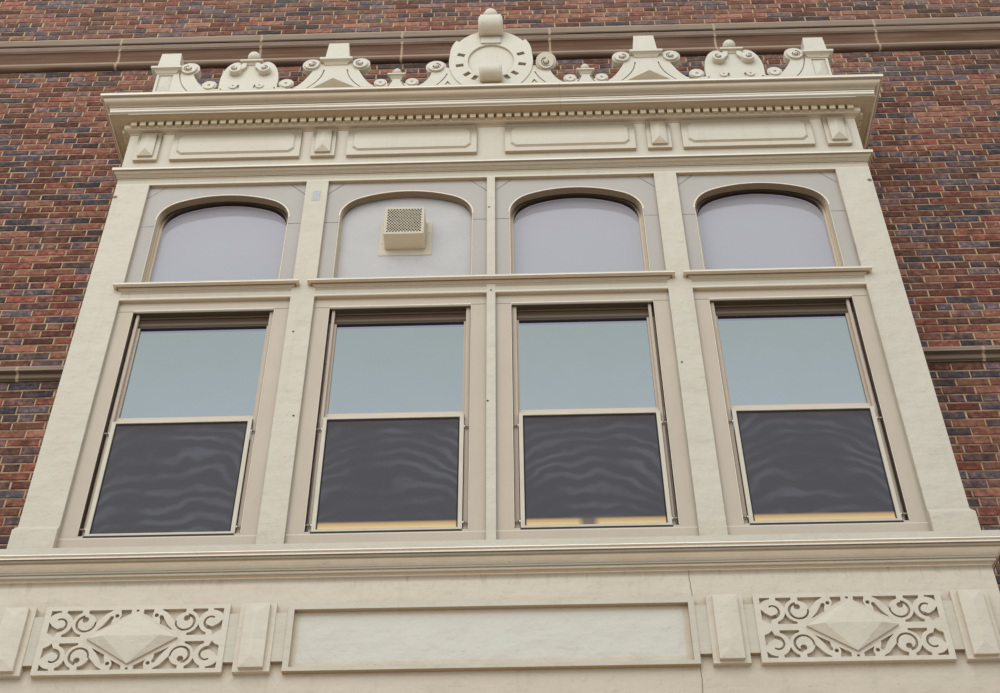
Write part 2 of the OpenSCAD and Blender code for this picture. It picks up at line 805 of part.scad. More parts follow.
lip_half = open_half - jamb_lip;
lip_z0 = open_z0 + jamb_lip;
lip_z1 = open_z1 - jamb_lip;
glass_half = lip_half - stile_w;

// The jamb with the upper sash in its outer track and the lower sash in its inner one
module sashes(i) {
    jamb_wide = 18;
    placed() color(board_grey) translate([window_xs[i], 0, 0]) {
        facing(jamb_y, jamb_t) ring(open_half + jamb_wide, open_z0 - jamb_wide, open_z1 + jamb_wide,
            jamb_lip + jamb_wide, jamb_lip + jamb_wide, jamb_lip + jamb_wide);
        facing(outer_sash_y, sash_t)
            ring(lip_half, meeting_z - meeting_rail, lip_z1, stile_w, meeting_rail, head_rail);
        facing(inner_sash_y, sash_t)
            ring(lip_half, lip_z0, meeting_z, stile_w, bottom_rail, meeting_rail);
    }
}

module sashes_1() {
    sashes(0);
}

module sashes_2() {
    sashes(1);
}

module sashes_3() {
    sashes(2);
}

module sashes_4() {
    sashes(3);
}

module lower_glass() {
    upper_z0 = meeting_z;
    upper_z1 = lip_z1 - head_rail;
    lower_z0 = lip_z0 + bottom_rail;
    lower_z1 = meeting_z - meeting_rail;
    lower_y = inner_sash_y + 15;
    placed() color(glass_blue) for (x = window_xs) {
        block([x - glass_half, glass_y, upper_z0], [x + glass_half, glass_y + glass_t, upper_z1]);
        block([x - glass_half, lower_y, lower_z0], [x + glass_half, lower_y + glass_t, lower_z1]);
    }
}

screen_half = open_half - screen_gap;
screen_z0 = open_z0 + 8;
screen_z1 = screen_z0 + screen_h;
screen_y = board_y + 10;

// The screens stand near the front of the openings, each held by four pins in the boards beside it
module screen_frames() {
    pin = 8;
    pin_inset = 90;
    placed() color(board_grey) for (x = window_xs)
        translate([x, 0, 0]) {
            facing(screen_y, screen_t)
                ring(screen_half, screen_z0, screen_z1, screen_bar, screen_rail, screen_rail);
            for (m = [0, 1], z = [screen_z0 + pin_inset / 2, screen_z1 - pin_inset])
                mirror([m, 0, 0])
                    translate([screen_half - 1, screen_y + 3, z]) cube([screen_gap + 1, pin, pin]);
        }
}

module screen_cloth() {
    cloth_t = 2;
    y0 = screen_y + screen_t / 2;
    half = screen_half - screen_bar;
    placed() color(screen_black) for (x = window_xs)
        block([x - half, y0, screen_z0 + screen_rail], [x + half, y0 + cloth_t, screen_z1 - screen_rail]);
}

arch_z0 = upper_z + upper_foot;
arch_stop = 8;
arch_stop_t = 20;
arch_inset = arch_stop + arched_bar;
arch_glass_y = jamb_y + arch_sash_t - 14;

module arch_light(d) {
    polygon(arch_outline(open_half, arch_z0, spring_z, arch_rise, arch_haunch, d));
}

// A stop behind the boards, then the narrow sash itself
module arched_sashes() {
    placed() color(board_grey) for (x = window_xs)
        translate([x, 0, 0]) {
            facing(jamb_y, arch_stop_t) difference() {
                arch_light(arched_bar);
                arch_light(-arch_stop);
            }
            facing(jamb_y + arch_stop_t, arch_sash_t - arch_stop_t) difference() {
                arch_light(arched_bar);
                arch_light(-arch_inset);
            }
        }
}

module arched_glass() {
    placed() color(glass_blue) for (i = [0, 2, 3])
        translate([window_xs[i], 0, 0]) facing(arch_glass_y, glass_t) arch_light(-arch_inset);
}

panel_t = 8;
vent_y = jamb_y + arch_stop_t - panel_t;

// The blind panel in front of the second arched sash
module vent_panel() {
    placed() color([0.80, 0.79, 0.74]) translate([window_xs[1], 0, 0])
        facing(vent_y, panel_t) arch_light(-arch_stop);
}

hood_z = upper_z + hood_rise;
hood_wall = 5;
hood_columns = 12;
hood_rows = 9;

// The hood is a box that is open behind, with a mesh of diamond holes in its face
module vent_hood() {
    half = hood_size / 2;
    face_y = vent_y - hood_depth;
    rim = 14;
    step_x = (hood_size - 2 * rim) / hood_columns;
    step_z = (hood_size - 2 * rim) / hood_rows;
    flange_t = 4;
    placed() color(silver) translate([window_xs[1], 0, hood_z]) {
        difference() {
            block([-half, face_y, 0], [half, vent_y, hood_size]);
            block([-half + hood_wall, face_y + hood_wall, hood_wall],
                  [half - hood_wall, vent_y + 1, hood_size - hood_wall]);
            facing(face_y - 1, hood_wall + 2) for (i = [0:hood_columns - 1], j = [0:2 * hood_rows - 2])
                if (j % 2 == 0 || i > 0)
                    translate([-half + rim + (i + (j % 2 == 0 ? 0.5 : 0)) * step_x,
                               rim + (j / 2 + 0.5) * step_z])
                        polygon([[-step_x * 0.4, 0], [0, -step_z * 0.36],
                                 [step_x * 0.4, 0], [0, step_z * 0.36]]);
        }
        facing(vent_y - flange_t, flange_t) difference() {
            translate([-half - hood_flange, -hood_flange - 9])
                square([hood_size + 2 * hood_flange, hood_size + 1.6 * hood_flange]);
            translate([-half, 0]) square([hood_size, hood_size]);
        }
    }
}

groove_w = 11;

// A narrow groove in a plate face that follows a bend from p to q
module groove(p, c, q) {
    wide = [groove_w, 0];
    edge = bend(p + wide, c + wide, q + wide);
    facing(-1, sink + 1) polygon(concat(bend(p, c, q), [for (i = [len(edge) - 1:-1:0]) edge[i]]));
}

// The drum of a volute on a plate face: a spiral groove from side s runs into a cup with a round eye
module volute(r, s, out = drum_out) {
    drum_r = r * 0.76;
    cup_r = drum_r * 0.42;
    cup_z = -drum_r * 0.16;
    eye_r = cup_r * 0.72;
    translate([0, 0, -r * 0.14]) {
        difference() {
            facing(-out, out + 1) circle(drum_r, $fn = 48);
            facing(-out - 1, sink + 1) {
                translate([0, cup_z]) circle(cup_r, $fn = 32);
                polygon(spiral(drum_r * 0.74, drum_r * 0.46, drum_r * 0.08, drum_r * 0.22,
                               -90 + 40 * s, 0.6, -s));
            }
        }
        translate([0, eye_r * 0.3 - out, cup_z + cup_r * 0.24]) sphere(eye_r, $fn = 32);
    }
}

// The drum of a low curl: a plain disc with a small eye in a small cup
module curl_drum(r) {
    out = drum_out / 2;
    drum_r = r * 0.76;
    cup_r = drum_r * 0.26;
    translate([0, 0, -r * 0.12]) {
        difference() {
            facing(-out, out + 1) circle(drum_r, $fn = 40);
            facing(-out - 1, sink + 1) circle(cup_r, $fn = 24);
        }
        translate([0, -cup_r * 0.3, cup_r * 0.3]) sphere(cup_r * 0.6, $fn = 24);
    }
}

// A cap with a fillet below, a hollow and a broad fillet above
function cap_profile(z0, out, h) =
    concat([[0, z0], [out * 0.18, z0], [out * 0.18, z0 + h * 0.2]],
           quarter(out * 0.24, z0 + h * 0.2, out * 0.88, z0 + h * 0.52, false),
           [[out, z0 + h * 0.52], [out, z0 + h - 3], [out - 3, z0 + h]]);

// A ball on a short neck, half way back on a cap
module finial(z0, neck_r, neck_h, ball_r) {
    translate([0, crest_t / 2, z0 - 1]) cylinder(h = neck_h + ball_r, r = neck_r, $fn = 32);
    translate([0, crest_t / 2, z0 + neck_h + ball_r]) sphere(ball_r, $fn = 48);
}

// A block on a cap, its sides leaning in, with a pedestal's full depth
module capped_block(hw, z0, cap_h, foot_half, top_half, height) {
    moulded_block(cap_profile(z0, cap_out, cap_h), hw, pedestal_t);
    facing(0, pedestal_t) polygon([[-foot_half, z0 + cap_h - 1], [foot_half, z0 + cap_h - 1],
                                   [top_half, z0 + height], [-top_half, z0 + height]]);
}

cartouche_half = 224;

// The end pedestal: panelled die, cap and block, with a volute whose sweep ends in a curl
module end_pedestal(side) {
    die_half = 73;
    die_x = half_bay - 142;
    die_top = 230;
    cap_h = 54;
    volute_x = die_x - 170;
    volute_z = 286;
    curl_x = die_x - 353;
    hip_base = 48;
    placed() color(cream) translate([0, 0, crest_z]) mirror([side < 0 ? 1 : 0, 0, 0]) {
        difference() {
            union() {
                translate([die_x, 0, 0]) block([-die_half, 0, 0], [die_half, pedestal_t, die_top]);
                facing(0, crest_t) {
                    translate([volute_x, volute_z]) circle(end_volute_r, $fn = 48);
                    polygon(concat([[die_x - die_half + 4, 0], [die_x - die_half + 4, die_top + 40],
                                    [volute_x + 30, volute_z + 40]],
                                   bend([volute_x - 41, volute_z - 68], [volute_x - 80, 104],
                                        [curl_x + 26, 24]),
                                   [[curl_x, 0]]));
                    translate([curl_x, curl_z]) circle(curl_r, $fn = 40);
                    translate([outer_x + cartouche_half, 0])
                        square([curl_x + 26 - outer_x - cartouche_half, 22]);
                }
            }
            translate([die_x, 0, 0]) facing(-1, 11) translate([-54, 14]) square([108, die_top - 26]);
            groove([volute_x + 62, volute_z - 40], [volute_x + 50, 90], [volute_x - 30, 4]);
        }
        translate([die_x, 10, die_top / 2]) hipped(hip_base, 98, 22, 98 - 62);
        translate([die_x + 1, 0, 0]) capped_block(die_half, die_top, cap_h, 90, 76, 270);
        translate([volute_x, 0, volute_z]) volute(end_volute_r, -1);
        translate([curl_x, 0, curl_z]) curl_drum(curl_r);
    }
}

module end_pedestal_left() {
    end_pedestal(-1);
}

module end_pedestal_right() {
    end_pedestal(1);
}

// Half of the outline of a cartouche, from its foot up over the shoulder
function shoulder(half, foot, top, round) =
    concat([[half, 0]], [for (i = [0:12]) let (a = 90 * i / 12)
        [half - round + round * cos(a), foot + (top - foot) * sin(a)]]);

// The cartouche: two deep drums with their bands on a shield, two low curls, and a ball on a cap
module cartouche(side) {
    half = cartouche_half;
    top = 360;
    pair_x = 112;
    pair_z = 230;
    band_out = 24;
    neck = 55;
    cap_z0 = 314;
    cap_h = 40;
    low_r = 40;
    low_x = [-90, 112];
    inner_curl_x = -292;
    half_outline = concat(shoulder(half, 120, top, half - pair_x),
                          [[pair_x - 50, top - 16], [neck, cap_z0 + 6]]);
    last = len(half_outline) - 1;
    placed() color(cream) translate([side * outer_x, 0, crest_z]) mirror([side < 0 ? 1 : 0, 0, 0]) {
        difference() {
            facing(0, crest_t) {
                polygon(concat(half_outline,
                               [for (i = [last:-1:0]) [-half_outline[i][0], half_outline[i][1]]]));
                translate([inner_curl_x, curl_z]) circle(curl_r, $fn = 40);
                translate([inner_curl_x, 0]) square([-inner_curl_x - half + 4, 26]);
            }
            for (s = [-1, 1])
                translate([s * 205, 0, 20]) facing(-1, 21) circle(8, $fn = 20);
            for (x = low_x)
                translate([x - sign(x) * 38, 0, 44]) facing(-1, sink + 1) polygon(ellipse(9, 26, 24));
        }
        facing(-band_out, band_out + 1) for (m = [0, 1]) mirror([m, 0])
            polygon([[pair_x, pair_z - 52], [pair_x - 6, pair_z - 56], [neck - 20, cap_z0 - 44],
                     [neck - 20, cap_z0 + 2], [neck + 8, cap_z0 + 2], [pair_x, pair_z + 20]]);
        moulded_block(cap_profile(cap_z0, cap_out * 0.75, cap_h), neck, crest_t);
        finial(cap_z0 + cap_h, 24, 46, 50);
        for (s = [-1, 1])
            translate([s * pair_x, 0, pair_z]) volute(cartouche_volute_r, -s, cartouche_drum_out);
        for (x = low_x)
            translate([x, 0, low_r + 12]) curl_drum(low_r);
        translate([inner_curl_x, 0, curl_z]) curl_drum(curl_r);
    }
}

module cartouche_left() {
    cartouche(-1);
}

module cartouche_right() {
    cartouche(1);
}

// The obelisk: a spreading foot with two volutes and a low gable, and a tapered block on a cap
module obelisk(side) {
    obelisk_x = pier_x - 24;
    pair_x = 188;
    pair_z = 300;
    neck = 88;
    flare = 306;
    cap_z0 = 290;
    cap_h = 54;
    gable_half = 172;
    gable_z = 150;
    gable_out = 68;
    gable_ridge_z = 34;
    placed() color(cream) translate([side * obelisk_x, 0, crest_z]) {
        difference() {
            facing(0, crest_t) for (m = [0, 1]) mirror([m, 0]) {
                translate([pair_x, pair_z]) circle(obelisk_volute_r, $fn = 48);
                polygon(concat([[0, 0], [flare, 0]],
                               bend([flare, 14], [240, 60], [pair_x - 12, pair_z - obelisk_volute_r + 2]),
                               [[pair_x, pair_z], [neck, pair_z + 30], [neck, cap_z0 + 10],
                                [0, cap_z0 + 10]]));
            }
            for (m = [0, 1]) mirror([m, 0, 0]) groove([84, 236], [90, 110], [204, 2]);
        }
        capped_block(neck - 6, cap_z0, cap_h, neck + 10, 78, 292);
        polyhedron(
            points = [[-gable_half, 0, 0], [gable_half, 0, 0], [0, 0, gable_z],
                      [0, -gable_out, gable_ridge_z]],
            faces = [[0, 1, 2], [1, 0, 3], [2, 1, 3], [0, 2, 3]]);
        for (s = [-1, 1])
            translate([s * pair_x, 0, pair_z]) volute(obelisk_volute_r, s);
    }
}

module obelisk_left() {
    obelisk(-1);
}

module obelisk_right() {
    obelisk(1);
}

trefoil_x = 722;

// The two small ornaments of a stem with a cap and a ball between two curls
module trefoils() {
    pair_x = 120;
    curl = 50;
    stem = 40;
    cap_z0 = 102;
    cap_h = 34;
    placed() color(cream) both_sides() translate([trefoil_x, 0, crest_z]) {
        difference() {
            facing(0, crest_t) {
                polygon([[-72, 0], [72, 0], [46, 60], [stem, cap_z0 + 4], [-stem, cap_z0 + 4], [-46, 60]]);
                translate([-pair_x, 0]) square([2 * pair_x, 36]);
                for (s = [-1, 1]) translate([s * pair_x, curl]) circle(curl, $fn = 40);
            }
            for (m = [0, 1]) mirror([m, 0, 0]) groove([30, 86], [36, 40], [60, 4]);
        }
        moulded_block(cap_profile(cap_z0, cap_out * 0.65, cap_h), stem, crest_t);
        finial(cap_z0 + cap_h, 18, 40, 33);
        for (s = [-1, 1]) translate([s * pair_x, 0, curl]) curl_drum(curl);
    }
}

scroll_tilt = 26;

// A scroll beside the disc; the one on the right has tipped forward
module disc_scroll(s) {
    scroll_x = 424;
    scroll_z = 248;
    scroll_r = 78;
    foot_x = 556;
    inner_x = 300;
    tip = s > 0 ? scroll_tilt : 0;
    mirror([s < 0 ? 1 : 0, 0, 0]) {
        difference() {
            facing(8, crest_t - 8) difference() {
                polygon(concat([[inner_x - 90, 0], [foot_x, 0]],
                               bend([foot_x, 12], [475, 70], [scroll_x + 30, scroll_z - 66]),
                               [[scroll_x, scroll_z - 30], [340, scroll_z - 10], [inner_x, scroll_z - 30]]));
                translate([0, disc_z]) polygon(ellipse(disc_rx, disc_rz));
            }
            translate([0, 8, 0]) {
                groove([332, 158], [346, 90], [420, 4]);
                facing(-1, sink + 1)
                    polygon([[330, 66], [354, 20], [340, 20], [330, 40], [320, 20], [306, 20]]);
            }
        }
        translate([scroll_x, 8, scroll_z - scroll_r]) rotate([tip, 0, 0]) translate([0, 0, scroll_r]) {
            facing(0, crest_t - 8) circle(scroll_r, $fn = 48);
            volute(scroll_r, 1);
        }
    }
}

// The disc with its collar, sunk ring and radial slots, and the scrolls beside it
module center_disc() {
    ring_rx = 180;
    ring_rz = 215;
    top_rx = 301;
    top_rz = 411;
    slot_r = 246;
    slot_l = 60;
    slot_h = 38;
    slot_sink = 26;
    placed() color(cream) translate([0, 0, crest_z]) {
        difference() {
            facing(0, crest_t) intersection() {
                translate([0, disc_z]) union() {
                    polygon(ellipse(disc_rx, disc_rz));
                    polygon(ellipse(top_rx, top_rz));
                    for (m = [0, 1]) mirror([m, 0])
                        polygon([[disc_rx - 3, 20], [315, 155], [297, 225], [271, 278],
                                 [243, 254], [230, 100]]);
                }
                translate([-disc_rx, 0]) square([2 * disc_rx, disc_z + top_rz]);
            }
            facing(-1, sink + 7) translate([0, disc_z]) polygon(ellipse(ring_rx, ring_rz));
            for (m = [0, 1], a = [20, -12, -42, -60])
                mirror([m, 0, 0]) translate([slot_r * cos(a), 0, disc_z + slot_r * sin(a)])
                    rotate([0, -a, 0])
                        block([-slot_l / 2, -1, -slot_h / 2], [slot_l / 2, slot_sink, slot_h / 2]);
        }
        for (s = [-1, 1]) disc_scroll(s);
    }
}

// A drum that lies across the axis, its ends rounded off
module barrel(r, half) {
    rotate([0, 90, 0]) rotate_extrude($fn = 64)
        polygon([[0, -half], [r * 0.62, -half], [r * 0.86, -half + 5], [r, -half + 22],
                 [r, half - 22], [r * 0.86, half - 5], [r * 0.62, half], [0, half]]);
}

// The stem, barrel and ball at the head of the disc, and the barrel at its foot
module disc_console() {
    head_r = 84;
    head_half = 97;
    head_z = crest_z + disc_z + 380;
    head_out = 60;
    low_r = 70;
    low_half = 87;
    low_out = 50;
    stem_half = 76;
    stem_out = 14;
    plinth_half = 82;
    ball_r = 56;
    placed() color(cream) {
        difference() {
            union() {
                translate([0, -head_out, head_z]) barrel(head_r, head_half);
                translate([0, -low_out, crest_z + low_r + 2]) barrel(low_r, low_half);
            }
            block([-200, 0, crest_z - 10], [200, 200, head_z + 200]);
        }
        block([-stem_half, -stem_out, crest_z + disc_z + 222], [stem_half, 0, head_z]);
        block([-plinth_half, -head_out - 34, head_z + head_r - 12], [plinth_half, 0, head_z + head_r + 26]);
        translate([0, -head_out + 8, head_z + head_r + 26 + ball_r * 0.86]) sphere(ball_r, $fn = 48);
    }
}

wall_left();
wall_right();
wall_above();
lower_string_course();
upper_string_course();
base_frieze();
base_band();
scroll_panel_left();
scroll_panel_right();
long_bosses();
sill_cornice();
corner_pier_left();
corner_pier_right();
window_pier_left();
window_pier_right();
center_mullion();
transoms();
architrave();
upper_frieze();
frieze_panels();
dentil_course();
main_cornice();
blocking_course();
bay_roof();
bay_floor();
window_frame_1();
window_frame_2();
window_frame_3();
window_frame_4();
sashes_1();
sashes_2();
sashes_3();
sashes_4();
arched_sashes();
lower_glass();
arched_glass();
screen_frames();
screen_cloth();
vent_panel();
vent_hood();
end_pedestal_left();
end_pedestal_right();
cartouche_left();
cartouche_right();
obelisk_left();
obelisk_right();
trefoils();
center_disc();
disc_console();
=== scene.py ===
import math
import random

import bpy
from mathutils import Matrix, Vector


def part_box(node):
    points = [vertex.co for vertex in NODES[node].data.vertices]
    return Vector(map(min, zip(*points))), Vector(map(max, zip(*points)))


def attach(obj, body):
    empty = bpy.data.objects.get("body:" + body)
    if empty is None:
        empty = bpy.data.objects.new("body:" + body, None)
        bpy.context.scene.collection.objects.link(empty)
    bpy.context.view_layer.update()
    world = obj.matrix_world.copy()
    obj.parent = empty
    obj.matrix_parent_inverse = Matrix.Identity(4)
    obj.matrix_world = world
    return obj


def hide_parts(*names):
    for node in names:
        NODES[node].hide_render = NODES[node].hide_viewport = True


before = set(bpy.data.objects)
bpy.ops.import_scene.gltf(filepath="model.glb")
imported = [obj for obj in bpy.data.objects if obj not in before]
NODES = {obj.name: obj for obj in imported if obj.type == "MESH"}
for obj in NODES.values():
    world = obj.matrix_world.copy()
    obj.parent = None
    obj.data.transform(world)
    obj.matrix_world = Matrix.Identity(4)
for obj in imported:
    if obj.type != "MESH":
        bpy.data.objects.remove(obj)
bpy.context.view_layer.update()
RNG = random.Random(11)


def middle_x(node):
    low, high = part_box(node)
    return (low.x + high.x) / 2


# Steps between parts of the CAD that no box shows, in metres
HEAD_OVERLAP = 0.018  # how far the sashes reach up behind the boards
ARCH_HEAD = 0.340  # from the springing of an arch to the top of its boards
PIN_REACH = 0.034  # how far the screens' pins stand out beside them
SCREEN_LIFT = 0.008  # the gap under a screen

# Places read from the CAD nodes, in metres
INNER_X = middle_x("window_frame_3")
OUTER_X = middle_x("window_frame_4")
TRANSOM_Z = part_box("transoms")[0].z
ARCH_TOP_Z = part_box("window_frame_3")[1].z
BOARD_HALF = (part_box("window_frame_3")[1].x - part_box("window_frame_3")[0].x) / 2
OPEN_TOP_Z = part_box("sashes_3")[1].z - HEAD_OVERLAP
SPRING_Z = ARCH_TOP_Z - ARCH_HEAD
SCREEN_LOW, SCREEN_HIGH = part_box("screen_frames")
CLOTH_LOW, CLOTH_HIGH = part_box("screen_cloth")
SCREEN_HALF = SCREEN_HIGH.x - OUTER_X - PIN_REACH
OPEN_FOOT_Z = SCREEN_LOW.z - SCREEN_LIFT

# The brick module, in metres
BRICK_L = 0.213
COURSE = 0.0678
JOINT = 0.0105
RECESS = 0.006
HEADER_EVERY = 6
HEADER_Z = 6.006

# The vent hood, in metres
HOOD_HALF = 0.135
HOOD_SHEET = 0.0047
HOOD_TOP_FLANGE = 0.0186
HOOD_MESH = 0.0055

# Marks and joints on the front, and the painted light of the sash rails seen through the screens, in metres
SCREW_DOTS = [
    (1.170, 2.299), (0.000, 2.962), (-0.013, 3.773),
    (-1.180, 1.935), (-0.020, 2.020), (-1.250, 2.630)]
EDGE_CHIPS = [(-2.635, 3.970), (2.630, 3.963)]
BASE_SEAM_X = 1.060
BOARD_JOINT_Z = 3.684
CORNER_CUT = 0.112
SIGN_HALF_WIDE, SIGN_HALF_HIGH = 1.0, 0.135
RAIL_FROM_X = -1.28
RAIL_GAP = (0.500, 0.590)
CORNICE_SEAM_X = 0.51
STRING_JOINTS = [-4.25, -3.14, -1.95, -0.76, 0.48, 1.86, 3.20]


# Shader helpers

def srgb(r, g, b):
    """A colour as it is seen, made linear for a shader."""
    return tuple(((c + 0.055) / 1.055) ** 2.4 if c > 0.04045 else c / 12.92 for c in (r, g, b)) + (1.0,)


class Shader:
    """A material whose nodes are made one call at a time."""

    def __init__(self, name):
        self.mat = bpy.data.materials.new(name)
        self.mat.use_nodes = True
        self.tree = self.mat.node_tree
        self.tree.nodes.clear()
        self.out = self.tree.nodes.new("ShaderNodeOutputMaterial")

    def put(self, socket, value):
        if isinstance(value, bpy.types.NodeSocket):
            self.tree.links.new(value, socket)
        else:
            socket.default_value = value

    def node(self, kind, inputs=None, **settings):
        n = self.tree.nodes.new("ShaderNode" + kind)
        for key, value in settings.items():
            setattr(n, key, value)
        for key, value in (inputs or {}).items():
            self.put(n.inputs[key], value)
        return n

    def split(self, vector):
        """The x, y and z of a vector."""
        n = self.node("SeparateXYZ", {"Vector": vector})
        return [n.outputs[axis] for axis in "XYZ"]

    def place(self):
        """The x, y and z of a point of the piece, in metres."""
        return self.split(self.node("TexCoord").outputs["Object"])

    def facing(self):
        """The way a face looks, as x, y and z."""
        return self.split(self.node("NewGeometry").outputs["Normal"])

    def coords(self, scale=(1, 1, 1), offset=(0, 0, 0)):
        """The piece's own coordinates in metres, stretched and shifted."""
        place = self.node("TexCoord").outputs["Object"]
        mapping = self.node("Mapping", {"Vector": place, "Scale": scale, "Location": offset})
        return mapping.outputs["Vector"]

    def noise(self, scale, detail=4.0, rough=0.55, vector=None, distortion=0.0):
        n = self.node("TexNoise", {"Vector": vector or self.coords(), "Scale": scale, "Detail": detail,
                                   "Roughness": rough, "Distortion": distortion})
        return n.outputs["Fac"]

    def span(self, value, low, high, to_low=0.0, to_high=1.0):
        n = self.node("MapRange", {"Value": value, "From Min": low, "From Max": high,
                                   "To Min": to_low, "To Max": to_high})
        return n.outputs["Result"]

    def math(self, operation, a, b=0.0):
        return self.node("Math", {0: a, 1: b}, operation=operation).outputs[0]

    def times(self, a, b):
        return self.math("MULTIPLY", a, b)

    def fall(self, value, low, high):
        """1 up to low, going down to 0 at high."""
        return self.span(value, low, high, 1.0, 0.0)

    def distance(self, a, b):
        return self.math("ABSOLUTE", self.math("SUBTRACT", a, b))

    def line(self, value, at, half):
        """1 where the value lies within half of at, soft beyond it."""
        return self.fall(self.distance(value, at), half, half * 2.0)

    def band(self, value, low, high, soft=0.004):
        """1 between low and high, with soft ends."""
        begun = self.span(value, low - soft, low + soft)
        return self.times(begun, self.fall(value, high - soft, high + soft))

    def spot(self, x, z, at, radius):
        """1 inside a small round mark on the front."""
        across = self.distance(x, at[0])
        up = self.distance(z, at[1])
        away = self.math("SQRT", self.math("ADD", self.times(across, across), self.times(up, up)))
        return self.fall(away, radius * 0.7, radius * 1.3)

    def ragged(self, value, scale, by, detail=3.0):
        """A value moved to and fro a little, so that a line drawn at it is not quite straight."""
        return self.math("ADD", value, self.span(self.noise(scale, detail), 0.3, 0.7, -by, by))

    def from_window(self, x):
        """How far a point lies from the middle of its window, left or right."""
        side = self.math("ABSOLUTE", x)
        return self.math("MINIMUM", self.distance(side, INNER_X), self.distance(side, OUTER_X))

    def mix(self, factor, a, b, blend="MIX"):
        n = self.node("Mix", {"Factor": factor}, data_type="RGBA", blend_type=blend)
        self.put(n.inputs["A"], a)
        self.put(n.inputs["B"], b)
        return n.outputs["Result"]

    def tint(self, colour, where, other, strength):
        """Moves a colour towards another one, where the first value says so."""
        return self.mix(self.times(where, strength), colour, other)

    def coats(self, colour, layers):
        """Lays tints over a colour, each as where it lies, what colour it is and how strong."""
        for where, other, strength in layers:
            colour = self.tint(colour, where, other, strength)
        return colour

    def ramp(self, value, stops, blend="LINEAR"):
        n = self.node("ValToRGB", {"Fac": value})
        n.color_ramp.interpolation = blend
        points = n.color_ramp.elements
        while len(points) < len(stops):
            points.new(0.5)
        for point, (place, colour) in zip(points, stops):
            point.position = place
            point.color = colour
        return n.outputs["Color"]

    def bump(self, height, strength, distance, normal=None):
        inputs = {"Height": height, "Strength": strength, "Distance": distance}
        if normal is not None:
            inputs["Normal"] = normal
        return self.node("Bump", inputs).outputs["Normal"]

    def crevice(self, distance, samples=6):
        """1 in the open, falling to 0 in corners and under ledges."""
        return self.node("AmbientOcclusion", {"Distance": distance}, samples=samples).outputs["AO"]

    def surface(self, colour, roughness, normal=None, **more):
        inputs = {"Base Color": colour, "Roughness": roughness}
        if normal is not None:
            inputs["Normal"] = normal
        for key, value in more.items():
            inputs[key.replace("_", " ")] = value
        n = self.node("BsdfPrincipled", inputs)
        self.put(self.out.inputs["Surface"], n.outputs["BSDF"])
        return self.mat


# Materials

# DIRT is the brown of dirt; SOFFIT is the brown of painted shade on undersides, and of the darker paint of
# one cornice length
DIRT = srgb(0.44, 0.35, 0.24)
SOFFIT = srgb(0.66, 0.52, 0.34)
HOLE = srgb(0.12, 0.10, 0.09)


def worn_and_shaded_paint(s, base, shade, brown=0.66, corner_dirt_and_shade=0.42):
    """The colour of old paint on masonry: soft patches, thin runs, flecks, painted shade in brown on
    undersides and under ledges, and dirt with painted shade in corners.
    """
    n_z = s.facing()[2]
    broad = s.span(s.noise(1.1, 5.0), 0.35, 0.65)
    blotch = s.span(s.noise(6.0, 6.0, 0.6), 0.42, 0.72)
    runs = s.span(s.noise(1.0, 6.0, 0.65, s.coords((18.0, 18.0, 1.2))), 0.55, 0.80)
    flecks = s.span(s.noise(38.0, 3.0, 0.6), 0.68, 0.74)
    # painted shade: faces looking down and places sheltered by ledges turn soffit brown; small corners get
    # dirt with painted shade
    under = s.span(n_z, -0.30, -0.85)
    corner = s.fall(s.crevice(0.05), 0.30, 0.90)
    sheltered_shade = s.fall(s.crevice(0.30), 0.35, 0.95)
    return s.coats(base, [
        (broad, shade, 0.35),
        (blotch, shade, 0.22),
        (runs, DIRT, 0.12),
        (flecks, DIRT, 0.25),
        # painted shade under ledges, and dirt with painted shade in corners
        (under, SOFFIT, brown),
        (sheltered_shade, SOFFIT, brown * 0.4),
        (corner, DIRT, corner_dirt_and_shade)])


def frieze_paint(name, base, shade, bands=None):
    """The upper frieze, its low slanting facets a little browner as painted shade, and, with bands, painted
    shadow by height.
    """
    s = Shader(name)
    n_z = s.facing()[2]
    colour = worn_and_shaded_paint(s, base, shade, 0.30, 0.25)
    # painted shade on the low slanting facets
    colour = s.tint(colour, s.span(n_z, -0.15, -0.26), srgb(0.66, 0.57, 0.45), 0.5)
    # painted shadow by height, where bands are given
    if bands:
        colour = shade_moulding(s, colour, s.place()[2], bands)
    return s.surface(colour, 0.6, lumpy_bump(s, 0.5))


def darkened(lightness):
    """A factor of painted light and shade for a paint: browner as it gets darker."""
    return (lightness, lightness ** 1.1, lightness ** 1.3, 1.0)


def shade_moulding(s, colour, z, bands):
    """Paints light and shade on a moulding by height, darkening or lightening its paint; bands are heights
    in metres and lightness, from below.
    """
    low, high = bands[0][0], bands[-1][0]
    stops = [((height - low) / (high - low), darkened(lightness)) for height, lightness in bands]
    return s.mix(1.0, colour, s.ramp(s.span(z, low, high), stops), "MULTIPLY")


# Heights in metres up a moulding, from below, with how light it is there as painted light and shade
CORNICE_BANDS = [
    (4.7308, 1.0), (4.7320, 0.42), (4.757, 0.45), (4.763, 1.35), (4.780, 1.40), (4.790, 1.20),
    (4.797, 0.62), (4.810, 0.52), (4.821, 0.62), (4.835, 1.0), (4.841, 1.40), (4.848, 1.35),
    (4.854, 0.50), (4.858, 0.30), (4.8655, 0.52), (4.8675, 1.45), (4.878, 1.50), (4.886, 1.05)]
ARCHITRAVE_BANDS = [
    (4.091, 1.05), (4.104, 1.08), (4.112, 0.84), (4.137, 0.82), (4.146, 0.53), (4.154, 0.70),
    (4.1605, 1.15), (4.163, 0.45), (4.173, 0.47), (4.180, 0.65), (4.190, 0.66), (4.196, 0.84),
    (4.202, 0.80), (4.206, 0.42), (4.2145, 0.50), (4.2155, 1.50), (4.226, 1.35), (4.232, 1.0)]
